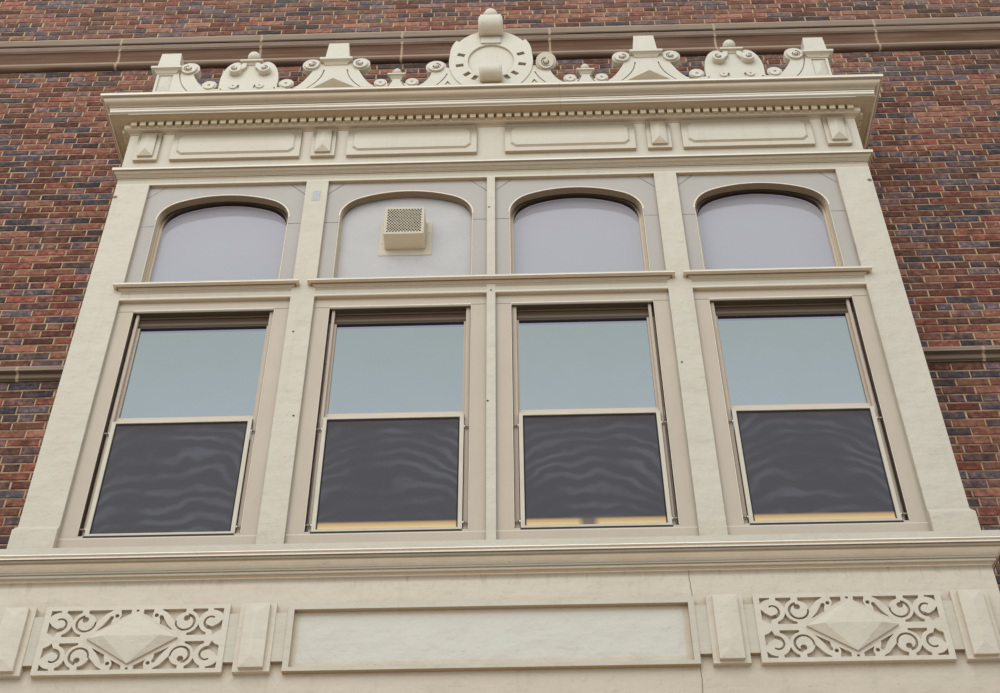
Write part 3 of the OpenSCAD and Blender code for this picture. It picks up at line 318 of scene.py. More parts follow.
TRANSOM_BANDS = [
    (2.9402, 1.20), (2.9406, 0.60), (2.945, 0.62), (2.950, 1.18), (2.957, 1.12), (2.963, 0.92),
    (2.990, 0.88), (2.997, 0.62), (3.010, 0.62), (3.016, 0.86), (3.021, 0.70), (3.027, 1.05),
    (3.0315, 1.30), (3.0325, 0.48), (3.0345, 0.48), (3.0385, 1.50), (3.046, 1.45), (3.052, 1.0)]
SILL_BANDS = [
    (0.783, 1.80), (0.7865, 1.10), (0.791, 0.68), (0.796, 1.05), (0.804, 1.20), (0.808, 0.80),
    (0.813, 0.62), (0.823, 0.78), (0.829, 1.05), (0.836, 1.45), (0.848, 1.60), (0.852, 0.80),
    (0.856, 0.43), (0.860, 0.70), (0.866, 0.70), (0.871, 0.45), (0.876, 1.70), (0.892, 1.90), (0.896, 1.0)]
PANEL_BANDS = [(4.36, 1.0), (4.49, 1.0), (4.518, 0.88), (4.542, 0.75), (4.566, 0.52), (4.60, 0.36)]
UNDER_SILL_BANDS = [(0.736, 1.0), (0.746, 0.86), (0.754, 0.64), (0.770, 0.45), (0.784, 0.70)]
LOW_STRING_BANDS = [
    (2.649, 0.30), (2.656, 0.33), (2.661, 0.28), (2.665, 0.38), (2.671, 0.62), (2.677, 0.52),
    (2.685, 0.42), (2.694, 0.35), (2.699, 0.28), (2.7025, 0.28), (2.7040, 0.95), (2.712, 0.92),
    (2.719, 0.60), (2.727, 0.92), (2.745, 1.0)]


def lumpy_bump(s, rough=1.0):
    """Filler lumps, trowel waves that lie across, and brush marks."""
    lumps = s.bump(s.noise(5.0, 4.0, 0.5), 0.75 * rough, 0.045)
    waves = s.bump(s.noise(1.0, 3.0, 0.5, s.coords((3.0, 3.0, 15.0))), 0.45 * rough, 0.016, lumps)
    knobs = s.bump(s.span(s.noise(17.0, 2.0), 0.62, 0.72), 0.40 * rough, 0.005, waves)
    return s.bump(s.noise(45.0, 5.0, 0.6), 0.20, 0.003, knobs)


def painted_masonry(name, base, shade, brown=0.66, corner_dirt_and_shade=0.42, bands=None):
    s = Shader(name)
    colour = worn_and_shaded_paint(s, base, shade, brown, corner_dirt_and_shade)
    # painted light and shade by height along the mouldings, where bands are given
    if bands:
        colour = shade_moulding(s, colour, s.place()[2], bands)
    return s.surface(colour, s.span(s.noise(6.0), 0.3, 0.7, 0.50, 0.66), lumpy_bump(s, 0.7))


def pier_paint(name, base, shade):
    """The paint of the piers, with dots where screws were filled and chips at the outer edges."""
    s = Shader(name)
    x, _, z = s.place()
    colour = worn_and_shaded_paint(s, base, shade)
    for at in SCREW_DOTS:
        colour = s.mix(s.spot(x, z, at, 0.007), colour, HOLE)
    for at in EDGE_CHIPS:
        colour = s.mix(s.spot(x, z, at, 0.016), colour, srgb(0.48, 0.40, 0.33))
    return s.surface(colour, s.span(s.noise(6.0), 0.3, 0.7, 0.50, 0.66), lumpy_bump(s))


def cornice_paint(name, base, shade, seam_x):
    """The cornice: long brown streaks, and a seam between two lengths, the left one a little darker; painted
    light and shade by height along its mouldings.
    """
    s = Shader(name)
    x, _, z = s.place()
    across = s.ragged(x, 9.0, 0.004)
    streaks = s.span(s.noise(1.0, 5.0, 0.6, s.coords((1.2, 26.0, 26.0))), 0.50, 0.68)
    colour = worn_and_shaded_paint(s, base, shade, 0.62)
    colour = s.coats(colour, [
        (streaks, srgb(0.58, 0.47, 0.37), 0.22),
        (s.fall(x, seam_x - 0.002, seam_x + 0.002), SOFFIT, 0.09),
        (s.line(across, seam_x, 0.0015), DIRT, 0.3)])
    # painted light and shade along the cornice's mouldings
    colour = shade_moulding(s, colour, z, CORNICE_BANDS)
    return s.surface(colour, 0.58, lumpy_bump(s, 0.5))


def dentil_paint(name):
    """The dentils: warm beige teeth, browner underneath as painted shade and nearly black in the gaps as
    painted shadow.
    """
    s = Shader(name)
    n_z = s.facing()[2]
    gaps = s.fall(s.crevice(0.025, 10), 0.25, 0.80)
    fade = s.span(s.noise(12.0, 4.0), 0.35, 0.65)
    # painted shade on the undersides and painted shadow in the gaps between the teeth
    colour = s.coats(srgb(0.91, 0.85, 0.73), [
        (fade, srgb(0.85, 0.78, 0.65), 0.6),
        (s.span(n_z, -0.3, -0.8), srgb(0.74, 0.63, 0.47), 0.7),
        (gaps, srgb(0.16, 0.11, 0.06), 0.85)])
    return s.surface(colour, 0.6, lumpy_bump(s, 0.3))


def base_paint(name, base, shade, field):
    """The base: a joint by the sign, drips under the sill, painted shadow just under the sill, pale ground
    in the sign and by the scrolls.
    """
    s = Shader(name)
    x, _, z = s.place()
    side = s.math("ABSOLUTE", x)
    sill_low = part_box("sill_cornice")[0].z
    scroll_low, scroll_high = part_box("scroll_panel_right")
    middle_z = (scroll_low.z + scroll_high.z) / 2
    across = s.ragged(x, 9.0, 0.004)
    drips = s.span(s.noise(1.0, 5.0, 0.7, s.coords((30.0, 30.0, 5.0))), 0.55, 0.66)
    near_sill = s.span(z, sill_low - 0.09, sill_low)
    behind = s.times(s.band(side, scroll_low.x + 0.01, scroll_high.x - 0.01),
                     s.band(z, scroll_low.z + 0.01, scroll_high.z - 0.01))
    sign = s.times(s.fall(side, SIGN_HALF_WIDE - 0.004, SIGN_HALF_WIDE),
                   s.band(z, middle_z - SIGN_HALF_HIGH, middle_z + SIGN_HALF_HIGH))
    colour = worn_and_shaded_paint(s, base, shade, 0.40, 0.12)
    colour = s.tint(colour, s.times(drips, near_sill), DIRT, 0.30)
    # painted shadow just under the sill
    colour = shade_moulding(s, colour, z, UNDER_SILL_BANDS)
    colour = s.tint(colour, s.math("MAXIMUM", behind, sign), field, 0.95)
    colour = s.tint(colour, s.line(across, BASE_SEAM_X, 0.0018), DIRT, 0.7)
    groove = s.fall(s.line(across, BASE_SEAM_X, 0.002), 0.0, 1.0)
    return s.surface(colour, 0.6, s.bump(groove, 0.6, 0.002, lumpy_bump(s)))


def plain_board(s, base, shade, nook_dust_and_shade=0.3):
    """The colour of flat house paint on boards, with faint grain, and corners that are dusty and darkened as
    painted shade.
    """
    broad = s.span(s.noise(2.2, 4.0), 0.35, 0.68)
    grain = s.noise(6.0, 6.0, 0.6, s.coords((14.0, 14.0, 1.0)))
    # dust and painted shade in the corners
    nooks = s.fall(s.crevice(0.025), 0.35, 0.95)
    colour = s.tint(base, broad, shade, 0.5)
    colour = s.tint(colour, s.span(grain, 0.5, 0.75), shade, 0.3)
    return s.tint(colour, nooks, srgb(0.34, 0.27, 0.20), nook_dust_and_shade), s.bump(grain, 0.15, 0.002)


def lower_board(name):
    """Boards round the tall windows: joints beside the head board, dark reveals, a black band of painted
    shadow for the gap under the screen with a pale painted highlight below it, and painted shade under the
    head with a painted highlight on its front edge.
    """
    s = Shader(name)
    x, y, z = s.place()
    n_x, _, n_z = s.facing()
    colour, normal = plain_board(s, srgb(0.785, 0.74, 0.67), srgb(0.745, 0.70, 0.63))
    aside = s.from_window(x)
    joint = s.times(s.line(s.ragged(z, 3.0, 0.003, 4.0), OPEN_TOP_Z, 0.0018), s.span(aside, 0.455, 0.460))
    # painted shadow: a black band on the board's foot where the gap under the screen lies
    screen_gap_shadow = s.times(s.band(z, OPEN_FOOT_Z - 0.013, OPEN_FOOT_Z + 0.002, 0.001),
                           s.fall(aside, SCREEN_HALF, SCREEN_HALF + 0.004))
    # painted highlight: a pale line just below that band
    below = s.band(z, OPEN_FOOT_Z - 0.021, OPEN_FOOT_Z - 0.014, 0.001)
    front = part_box("window_frame_1")[0].y
    # painted shade under the head, near black brown, with a painted highlight on its front centimetre
    under = s.mix(s.span(y, front + 0.009, front + 0.019), srgb(0.97, 0.93, 0.87), srgb(0.27, 0.21, 0.14))
    colour = s.coats(colour, [
        (joint, srgb(0.34, 0.29, 0.24), 0.75),
        (s.line(aside, BOARD_HALF, 0.006), srgb(0.66, 0.67, 0.64), 0.55),
        (below, srgb(0.88, 0.85, 0.78), 0.8),
        (screen_gap_shadow, srgb(0.09, 0.06, 0.05), 0.95),
        (s.span(s.math("ABSOLUTE", n_x), 0.4, 0.7), srgb(0.28, 0.20, 0.18), 0.9),
        (s.span(n_z, -0.3, -0.7), under, 0.95)])
    return s.surface(colour, 0.52, normal)


def upper_board(name):
    """Boards round the arched lights: corner pieces let in on the slant, joints at the springing, and
    painted shade on their undersides.
    """
    s = Shader(name)
    x, _, z = s.place()
    _, n_y, n_z = s.facing()
    colour, normal = plain_board(s, srgb(0.725, 0.705, 0.675), srgb(0.69, 0.67, 0.64))
    aside = s.from_window(x)
    front = s.span(s.math("ABSOLUTE", n_y), 0.8, 0.95)
    from_corner = s.math("SUBTRACT", BOARD_HALF + ARCH_TOP_Z, s.math("ADD", aside, z))
    fade = s.span(s.noise(14.0, 3.0), 0.35, 0.55, 0.55, 1.0)
    slant = s.times(s.line(from_corner, CORNER_CUT, 0.0030), s.times(front, fade))
    level = s.times(s.line(z, BOARD_JOINT_Z, 0.0022), s.times(front, fade))
    colour = s.coats(colour, [
        (s.math("MAXIMUM", slant, level), srgb(0.34, 0.31, 0.28), 0.85),
        (s.span(s.math("ABSOLUTE", n_y), 0.7, 0.4), srgb(0.80, 0.75, 0.65), 0.85),
        # painted shade on the undersides
        (s.span(n_z, -0.12, -0.6), srgb(0.46, 0.36, 0.25), 0.9)])
    return s.surface(colour, 0.52, normal)


def sash_paint(name):
    """Sash and jamb paint with painted shade at the head: nearly black brown there, with a pale line of
    painted highlight on each step.
    """
    s = Shader(name)
    z = s.place()[2]
    n_z = s.facing()[2]
    colour, normal = plain_board(s, srgb(0.82, 0.755, 0.68), srgb(0.78, 0.71, 0.63))
    # painted shade in bands down from the head of the opening, with painted highlights on the step edges
    steps = [(0.094, (0.27, 0.23, 0.18)), (0.074, (0.44, 0.38, 0.32)), (0.058, (0.34, 0.27, 0.21)),
             (0.045, (0.32, 0.25, 0.18)), (0.020, (0.42, 0.35, 0.28)), (0.008, (0.31, 0.25, 0.17))]
    for drop, tone in steps:
        colour = s.mix(s.span(z, OPEN_TOP_Z - drop, OPEN_TOP_Z - drop + 0.004), colour, srgb(*tone))
    meeting_z = SCREEN_HIGH.z + 0.030
    colour = s.tint(colour, s.band(z, meeting_z - 0.032, meeting_z + 0.034), srgb(0.86, 0.815, 0.74), 0.9)
    # painted shade on the undersides, darkest at the head
    head = s.span(z, OPEN_TOP_Z - 0.2, OPEN_TOP_Z - 0.1)
    under = s.mix(head, srgb(0.50, 0.40, 0.30), srgb(0.12, 0.09, 0.07))
    colour = s.tint(colour, s.span(n_z, -0.3, -0.7), under, 0.9)
    return s.surface(colour, 0.48, normal)


def arched_sash_paint(name):
    """The narrow sashes of the arched lights, dark under the arch as painted shade (the stop's front less
    so, undersides darkest) and light down the sides.
    """
    s = Shader(name)
    _, y, z = s.place()
    n_z = s.facing()[2]
    colour, normal = plain_board(s, srgb(0.86, 0.80, 0.71), srgb(0.81, 0.75, 0.66))
    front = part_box("arched_sashes")[0].y
    stop = s.fall(y, front + 0.002, front + 0.004)
    high = s.span(z, SPRING_Z - 0.02, SPRING_Z + 0.10)
    # painted shade under the arch
    colour = s.coats(colour, [
        (high, srgb(0.34, 0.27, 0.21), 0.9),
        (s.times(stop, high), srgb(0.62, 0.53, 0.42), 0.9),
        (s.times(high, s.span(n_z, -0.12, -0.6)), srgb(0.20, 0.15, 0.11), 0.85)])
    return s.surface(colour, 0.48, normal)


def stop_paint(name, base, shade, nook_dust_and_shade):
    s = Shader(name)
    colour, normal = plain_board(s, base, shade, nook_dust_and_shade)
    return s.surface(colour, 0.5, normal)


def arris_highlight_paint(name):
    """The bright cream of a painted highlight along an arris."""
    s = Shader(name)
    worn = s.span(s.noise(30.0, 4.0), 0.50, 0.72)
    # painted highlight: bright cream
    colour = s.tint(srgb(0.96, 0.92, 0.84), worn, srgb(0.84, 0.79, 0.70), 0.5)
    return s.surface(colour, 0.45, s.bump(s.noise(60.0, 3.0), 0.2, 0.001))


def brick_face(name):
    """Rough faced brick, its tone stored on its faces; the wall is washed paler high up, and the bricks'
    undersides carry painted shade.
    """
    s = Shader(name)
    tone = s.node("Attribute", attribute_name="brick_tone").outputs["Color"]
    parts = s.node("SeparateColor", {"Color": tone})
    kind, light, shift = parts.outputs["Red"], parts.outputs["Green"], parts.outputs["Blue"]
    clay = s.ramp(kind, [
        (0.00, srgb(0.50, 0.26, 0.21)), (0.22, srgb(0.42, 0.25, 0.20)), (0.40, srgb(0.54, 0.35, 0.28)),
        (0.58, srgb(0.42, 0.28, 0.23)), (0.72, srgb(0.38, 0.30, 0.31)), (0.88, srgb(0.32, 0.30, 0.33)),
        (1.00, srgb(0.25, 0.25, 0.28))])
    place = s.node("TexCoord").outputs["Object"]
    own = s.node("CombineXYZ", {"X": shift, "Y": shift, "Z": shift}).outputs[0]
    moved = s.node("VectorMath", {0: place, 1: own}, operation="ADD").outputs["Vector"]
    clouds = s.noise(24.0, 5.0, 0.65, moved)
    grit = s.noise(120.0, 4.0, 0.7, moved)
    bloom = s.times(s.span(s.place()[2], 4.9, 6.6), s.span(s.noise(7.0, 4.0), 0.3, 0.7, 0.6, 1.0))
    colour = s.coats(clay, [
        (s.span(clouds, 0.53, 0.65), srgb(0.20, 0.14, 0.14), 0.72),
        (s.span(clouds, 0.48, 0.38), srgb(0.66, 0.48, 0.40), 0.42),
        (s.span(grit, 0.60, 0.75), srgb(0.66, 0.54, 0.46), 0.30),
        (bloom, srgb(0.80, 0.68, 0.60), 0.10),
        # painted shade on the undersides of the bricks
        (s.span(s.facing()[2], -0.2, -0.7), srgb(0.20, 0.14, 0.12), 0.6)])
    dimmed = s.node("HueSaturation", {"Value": s.span(light, 0.0, 1.0, 0.50, 1.42), "Color": colour})
    normal = s.bump(grit, 0.6, 0.003, s.bump(clouds, 0.6, 0.008))
    return s.surface(dimmed.outputs["Color"], 0.85, normal)


def mortar(name):
    """Buff mortar, pale in the upright joints and mostly shaded in the level ones."""
    s = Shader(name)
    clouds = s.noise(9.0, 5.0, 0.6)
    grit = s.noise(220.0, 3.0)
    courses_up = s.math("DIVIDE", s.math("SUBTRACT", s.place()[2], HEADER_Z), COURSE)
    course = s.math("FRACT", courses_up)
    shade = s.times(s.line(course, 0.5, 0.10), s.span(s.noise(7.0, 5.0, 0.7), 0.40, 0.56, 1.0, 0.35))
    colour = s.mix(s.span(clouds, 0.35, 0.7), srgb(0.79, 0.69, 0.56), srgb(0.68, 0.57, 0.45))
    colour = s.tint(colour, s.span(grit, 0.5, 0.7), srgb(0.50, 0.41, 0.33), 0.4)
    colour = s.tint(colour, shade, srgb(0.34, 0.22, 0.17), 0.75)
    return s.surface(colour, 0.95, s.bump(grit, 0.7, 0.003))


def string_stone(name):
    """Bare string course stone in bands by height whose colours carry painted light and shade: grey lip,
    dark grooves of painted shadow, pale lit fillets, a brown shaded hollow; its crevices sooty and darkened
    as painted shade, and pale joints.
    """
    s = Shader(name)
    x, _, z = s.place()
    low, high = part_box("upper_string_course")
    share = s.span(z, low.z, high.z)
    clouds = s.noise(3.0, 6.0, 0.6)
    streaks = s.span(s.noise(1.0, 6.0, 0.6, s.coords((2.0, 24.0, 24.0))), 0.45, 0.70)
    grit = s.noise(150.0, 4.0, 0.7)
    # sooty crevices, darkened also as painted shade
    crevice_soot_and_shade = s.fall(s.crevice(0.10), 0.25, 0.90)
    lip, fillet, hollow = srgb(0.57, 0.51, 0.44), srgb(0.86, 0.77, 0.70), srgb(0.40, 0.29, 0.22)
    groove, roll, foot = srgb(0.10, 0.06, 0.04), srgb(0.66, 0.58, 0.50), srgb(0.34, 0.25, 0.19)
    low_roll, dull, edge = srgb(0.46, 0.37, 0.30), srgb(0.38, 0.31, 0.24), srgb(0.70, 0.62, 0.56)
    # the bands carry painted light and shade: painted shadow in the groove and hollow, lit fillets and top
    # edge
    bands = [(0.0, foot), (0.035, low_roll), (0.165, roll), (0.245, hollow), (0.56, dull),
             (0.685, fillet), (0.728, groove), (0.765, dull), (0.80, lip), (0.955, edge)]
    colour = s.ramp(share, bands, "CONSTANT")
    low_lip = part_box("lower_string_course")[1].z
    on_low = s.fall(z, low_lip + 0.2, low_lip + 0.3)
    shaded = shade_moulding(s, srgb(0.64, 0.57, 0.51), z, LOW_STRING_BANDS)
    colour = s.mix(on_low, colour, shaded)
    colour = s.coats(colour, [
        (s.span(clouds, 0.3, 0.7), srgb(0.44, 0.35, 0.29), 0.3),
        (streaks, srgb(0.64, 0.56, 0.48), 0.25),
        (crevice_soot_and_shade, srgb(0.18, 0.12, 0.09), 0.6)])
    across = s.ragged(x, 25.0, 0.004)
    for at in STRING_JOINTS:
        colour = s.tint(colour, s.line(across, at, 0.006), srgb(0.78, 0.70, 0.60), 0.6)
    return s.surface(colour, 0.82, s.bump(grit, 0.4, 0.002, s.bump(clouds, 0.2, 0.01)))


def window_glass(name, low, high, z_low, z_high, mirrored):
    """Glass that shows the sky from outside, its tint going from low to high, and is clear from the room;
    unmirrored it is mostly a painted reflection of the sky in its own colour, mirrored it has a lavender
    line of painted reflection along its top.
    """
    s = Shader(name)
    z = s.place()[2]
    waver = s.noise(0.9, 3.0)
    rise = s.math("ADD", s.span(z, z_low, z_high), s.span(waver, 0.3, 0.7, -0.15, 0.15))
    film = s.span(s.noise(5.0, 5.0, 0.6), 0.45, 0.75)
    # painted reflection: where the glass is not mirrored its own colour stands for the sky
    colour = s.tint(s.ramp(rise, [(0.0, low), (1.0, high)]), film, srgb(0.66, 0.64, 0.60), 0.06)
    if mirrored:
        # painted reflection: a lavender line of sky along the top
        colour = s.tint(colour, s.span(z, z_high - 0.034, z_high - 0.030), srgb(0.64, 0.64, 0.71), 0.9)
    normal = s.bump(s.noise(2.5, 2.0), 0.02, 0.01)
    polish = 1.0 if mirrored else 0.25
    mirror = s.node("BsdfPrincipled", {"Base Color": colour, "Metallic": polish, "Roughness": 0.03,
                                       "Normal": normal})
    clear = s.node("BsdfTransparent", {"Color": srgb(0.90, 0.93, 0.93)})
    gloss = s.node("BsdfGlossy", {"Roughness": 0.03, "Normal": normal})
    pane = s.node("MixShader", {0: 0.10, 1: clear.outputs[0], 2: gloss.outputs[0]})
    from_room = s.span(s.facing()[1], -0.1, 0.1)
    both = s.node("MixShader", {0: from_room, 1: mirror.outputs[0], 2: pane.outputs[0]})
    s.put(s.out.inputs["Surface"], both.outputs[0])
    return s.mat


def insect_screen(name):
    """Dark woven cloth, slightly slack, so pale ripples of painted sheen run over it, and the sash's lit
    foot behind it is painted on as a warm strip of painted light.
    """
    s = Shader(name)
    x, _, z = s.place()
    aside = s.from_window(x)
    slack = s.noise(1.0, 3.0, 0.5, s.coords((2.2, 2.2, 3.0)))
    draw = s.times(s.math("POWER", s.times(aside, 2.4), 4.0), 9.0)
    phase = s.math("ADD", s.times(z, 62.0), s.math("ADD", s.times(slack, 24.0), draw))
    uneven = s.noise(1.0, 3.0, 0.5, s.coords((3.2, 3.2, 2.2), (4.0, 0.0, 0.0)))
    patches = s.span(uneven, 0.40, 0.62, 0.1, 1.0)
    # painted sheen: pale ripples over the slack cloth
    pale = s.times(s.span(s.math("SINE", phase), -0.4, 1.0), patches)
    weave = s.math("MAXIMUM", s.math("SINE", s.times(x, 2600.0)), s.math("SINE", s.times(z, 2600.0)))
    half = CLOTH_HIGH.x - OUTER_X
    edge = s.math("MAXIMUM", s.span(aside, half - 0.011, half - 0.007),
                  s.math("MAXIMUM", s.span(z, CLOTH_HIGH.z - 0.020, CLOTH_HIGH.z - 0.014),
                         s.fall(z, CLOTH_LOW.z + 0.004, CLOTH_LOW.z + 0.007)))
    # painted light: the lit foot of the sash seen through the cloth, warm and bright, less so at its notch
    rail = s.times(s.fall(z, CLOTH_LOW.z + 0.040, CLOTH_LOW.z + 0.056),
                   s.span(x, RAIL_FROM_X - 0.02, RAIL_FROM_X))
    notch = s.band(x, *RAIL_GAP, 0.02)
    painted_lit_rail = s.times(rail, s.span(notch, 0.0, 1.0, 1.0, 0.15))
    upward = s.span(z, CLOTH_LOW.z + 0.010, CLOTH_LOW.z + 0.045)
    warm = s.mix(upward, srgb(0.97, 0.86, 0.64), srgb(0.80, 0.66, 0.46))
    colour = s.coats(srgb(0.295, 0.29, 0.31), [
        (pale, srgb(0.42, 0.43, 0.47), 0.50),
        (s.span(z, CLOTH_HIGH.z - 0.10, CLOTH_HIGH.z - 0.01), srgb(0.27, 0.23, 0.24), 0.7),
        (painted_lit_rail, warm, 0.92),
        (edge, srgb(0.09, 0.07, 0.07), 0.9)])
    return s.surface(colour, 0.6, s.bump(weave, 0.25, 0.0006), Alpha=0.96)


def screen_metal(name):
    """Mill aluminium frame, held by pins that are white next to it as a painted highlight, then black, and
    dull further out.
    """
    s = Shader(name)
    x = s.place()[0]
    dull = s.span(s.noise(8.0, 4.0), 0.35, 0.70)
    aside = s.from_window(x)
    colour = s.tint(srgb(0.85, 0.82, 0.75), dull, srgb(0.78, 0.75, 0.68), 0.6)
    # painted highlight: the pins are white next to the frame
    colour = s.mix(s.span(aside, SCREEN_HALF, SCREEN_HALF + 0.001), colour, srgb(0.97, 0.97, 0.96))
    colour = s.mix(s.span(aside, SCREEN_HALF + 0.008, SCREEN_HALF + 0.009), colour, srgb(0.15, 0.13, 0.12))
    colour = s.mix(s.span(aside, SCREEN_HALF + 0.013, SCREEN_HALF + 0.014), colour, srgb(0.66, 0.60, 0.53))
    return s.surface(colour, 0.45, s.bump(s.noise(90.0, 3.0), 0.12, 0.001), Metallic=0.1)


def sheet_colour(s, base, shade, underside_light_and_shade):
    """The colour of painted sheet with worn edges, a set tone of painted light and shade on its undersides,
    and dirt with painted shade in its crevices.
    """
    n_z = s.facing()[2]
    clouds = s.noise(6.0, 5.0, 0.6)
    corner_dirt_and_shade = s.fall(s.crevice(0.03), 0.3, 0.9)
    rust = s.span(s.noise(34.0, 4.0, 0.65), 0.64, 0.72)
    colour = s.mix(s.span(clouds, 0.35, 0.7), base, shade)
    return s.coats(colour, [
        # painted light and shade on the undersides
        (s.span(n_z, -0.3, -0.8), underside_light_and_shade, 0.85),
        (rust, srgb(0.42, 0.32, 0.23), 0.25),
        # dirt with painted shade in the crevices
        (corner_dirt_and_shade, srgb(0.28, 0.22, 0.17), 0.35)])


def worn_tape(name):
    """Grey tape, creased and a little dirty."""
    s = Shader(name)
    dirt = s.span(s.noise(60.0, 4.0, 0.6), 0.45, 0.75)
    creases = s.noise(30.0, 3.0, 0.5, s.coords((1.0, 1.0, 3.0)))
    colour = s.tint(srgb(0.74, 0.75, 0.76), dirt, srgb(0.62, 0.61, 0.57), 0.6)
    return s.surface(colour, 0.5, s.bump(creases, 0.2, 0.001))


def in_hood(s, x, y, z):
    """1 for what lies inside the vent hood: behind its mesh and between its sheets."""
    low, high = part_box("vent_hood")
    foot = high.z - HOOD_TOP_FLANGE - 2 * HOOD_HALF
    inner = HOOD_HALF - HOOD_SHEET
    across = s.fall(s.distance(x, (low.x + high.x) / 2), inner, inner + 0.0005)
    upward = s.band(z, foot + HOOD_SHEET, foot + 2 * HOOD_HALF - HOOD_SHEET, 0.0003)
    inward = s.band(y, low.y + HOOD_MESH, high.y + 0.001, 0.0003)
    return s.times(inward, s.times(across, upward))


def hood_metal(name, base, shade, underside_light_and_shade):
    """Painted sheet, near black inside the vent hood as painted shade, so that the holes of its mesh show
    black.
    """
    s = Shader(name)
    x, y, z = s.place()
    fine = s.noise(90.0, 4.0, 0.6)
    # painted shade: near black inside the hood
    colour = s.mix(in_hood(s, x, y, z), sheet_colour(s, base, shade, underside_light_and_shade), srgb(0.07, 0.06, 0.05))
    return s.surface(colour, s.span(fine, 0.3, 0.7, 0.42, 0.58), s.bump(fine, 0.12, 0.001))


def plain_screed(name, base, shade):
    s = Shader(name)
    clouds = s.noise(4.0, 6.0, 0.6)
    grit = s.noise(80.0, 4.0, 0.6)
    colour = s.mix(s.span(clouds, 0.3, 0.7), base, shade)
    colour = s.tint(colour, s.span(grit, 0.55, 0.7), srgb(0.35, 0.33, 0.30), 0.25)
    return s.surface(colour, 0.9, s.bump(grit, 0.3, 0.002))


PALE, WARM = srgb(0.83, 0.805, 0.74), srgb(0.79, 0.76, 0.685)
CREAM = painted_masonry("cream_paint", PALE, WARM)
CREST = painted_masonry("cresting_paint", srgb(0.855, 0.84, 0.78), srgb(0.82, 0.80, 0.73), 0.34, 0.32)
PIER = pier_paint("pier_paint", PALE, WARM)
CORNICE = cornice_paint("cornice_paint", PALE, WARM, CORNICE_SEAM_X)
DENTIL = dentil_paint("dentil_paint")
BASE = base_paint("base_paint", srgb(0.86, 0.825, 0.755), srgb(0.825, 0.785, 0.71), srgb(0.845, 0.835, 0.79))
SCROLL = painted_masonry("scroll_paint", srgb(0.87, 0.84, 0.77), srgb(0.835, 0.80, 0.73), 0.34, 0.10)
FRIEZE = frieze_paint("frieze_paint", PALE, WARM)
FRIEZE_PANEL = frieze_paint("frieze_panel_paint", PALE, WARM, PANEL_BANDS)
ARCHITRAVE = painted_masonry("architrave_paint", PALE, WARM, 0.66, 0.42, ARCHITRAVE_BANDS)
TRANSOM = painted_masonry("transom_paint", PALE, WARM, 0.60, 0.35, TRANSOM_BANDS)
SILL = painted_masonry("sill_paint", PALE, WARM, 0.60, 0.25, SILL_BANDS)
BOARD = lower_board("board_paint")
ARCH_BOARD = upper_board("upper_board_paint")
SASH = sash_paint("sash_paint")
ARCH_SASH = arched_sash_paint("arched_sash_paint")
STOP = stop_paint("stop_paint", srgb(0.80, 0.745, 0.675), srgb(0.76, 0.70, 0.62), 0.5)
# painted shadow: the dark line along the top of the arched glass
GLAZING_SHADOW_LINE = stop_paint("glazing_shadow", srgb(0.14, 0.11, 0.11), srgb(0.08, 0.07, 0.07), 0.2)
# painted reflection: the lavender line of sky below it
SKY_EDGE_REFLECTION = stop_paint("painted_sky_edge", srgb(0.78, 0.72, 0.78), srgb(0.72, 0.67, 0.74), 0.2)
# painted highlight on the arris beads
ARRIS_HIGHLIGHT = arris_highlight_paint("arris_highlight_paint")
BRICK = brick_face("brick_face")
MORTAR = mortar("mortar")
STRING = string_stone("string_stone")
GLASS_LOW = window_glass("lower_glass", srgb(0.72, 0.76, 0.77), srgb(0.69, 0.73, 0.72),
                         z_low=2.0, z_high=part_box("lower_glass")[1].z, mirrored=True)
GLASS_HIGH = window_glass("arched_glass", srgb(0.705, 0.715, 0.735), srgb(0.715, 0.705, 0.74),
                          z_low=3.1, z_high=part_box("arched_glass")[1].z, mirrored=False)
SCREEN = insect_screen("screen_cloth")
ALUMINIUM = screen_metal("screen_aluminium")
VENT = hood_metal("vent_sheet", srgb(0.82, 0.79, 0.71), srgb(0.77, 0.73, 0.64), srgb(0.86, 0.79, 0.67))
PANEL = hood_metal("vent_panel_paint", srgb(0.77, 0.765, 0.76), srgb(0.74, 0.735, 0.73), srgb(0.6, 0.5, 0.4))
FLOOR_SLAB = plain_screed("floor_slab", srgb(0.62, 0.60, 0.56), srgb(0.55, 0.53, 0.49))
ROOF = plain_screed("roof_screed", srgb(0.52, 0.51, 0.49), srgb(0.44, 0.43, 0.41))
TAPE_GREY = worn_tape("grey_tape")


def material_of(node):
    """The material that a CAD node wears."""
    if "string_course" in node:
        return STRING
    if node.startswith("window_frame"):
        return BOARD
    if node.startswith("sashes"):
        return SASH
    if "pier" in node or node == "center_mullion":
        return PIER
    if node.startswith(("end_pedestal", "cartouche", "obelisk", "trefoils", "center_disc", "disc_console")):
        return CREST
    if node.startswith("scroll_panel") or node == "long_bosses":
        return SCROLL
    single = {
        "lower_glass": GLASS_LOW, "arched_glass": GLASS_HIGH, "screen_cloth": SCREEN,
        "screen_frames": ALUMINIUM, "vent_hood": VENT, "vent_panel": PANEL, "arched_sashes": ARCH_SASH,
        "main_cornice": CORNICE, "dentil_course": DENTIL, "base_frieze": BASE,
        "architrave": ARCHITRAVE, "transoms": TRANSOM, "sill_cornice": SILL, "upper_frieze": FRIEZE,
        "frieze_panels": FRIEZE_PANEL, "bay_floor": FLOOR_SLAB, "bay_roof": ROOF}
    return single.get(node, CREAM)


def dress_nodes():
    for name, obj in NODES.items():
        obj.data.materials.clear()
        obj.data.materials.append(material_of(name))
        if name.startswith("window_frame"):
            paint_upper_boards(obj)


def paint_upper_boards(obj):
    """The boards round an arched light are painted a cooler grey than those below the transom."""
    obj.data.materials.append(ARCH_BOARD)
    for face in obj.data.polygons:
        if face.center.z > TRANSOM_Z:
            face.material_index = 1


# Mesh helpers

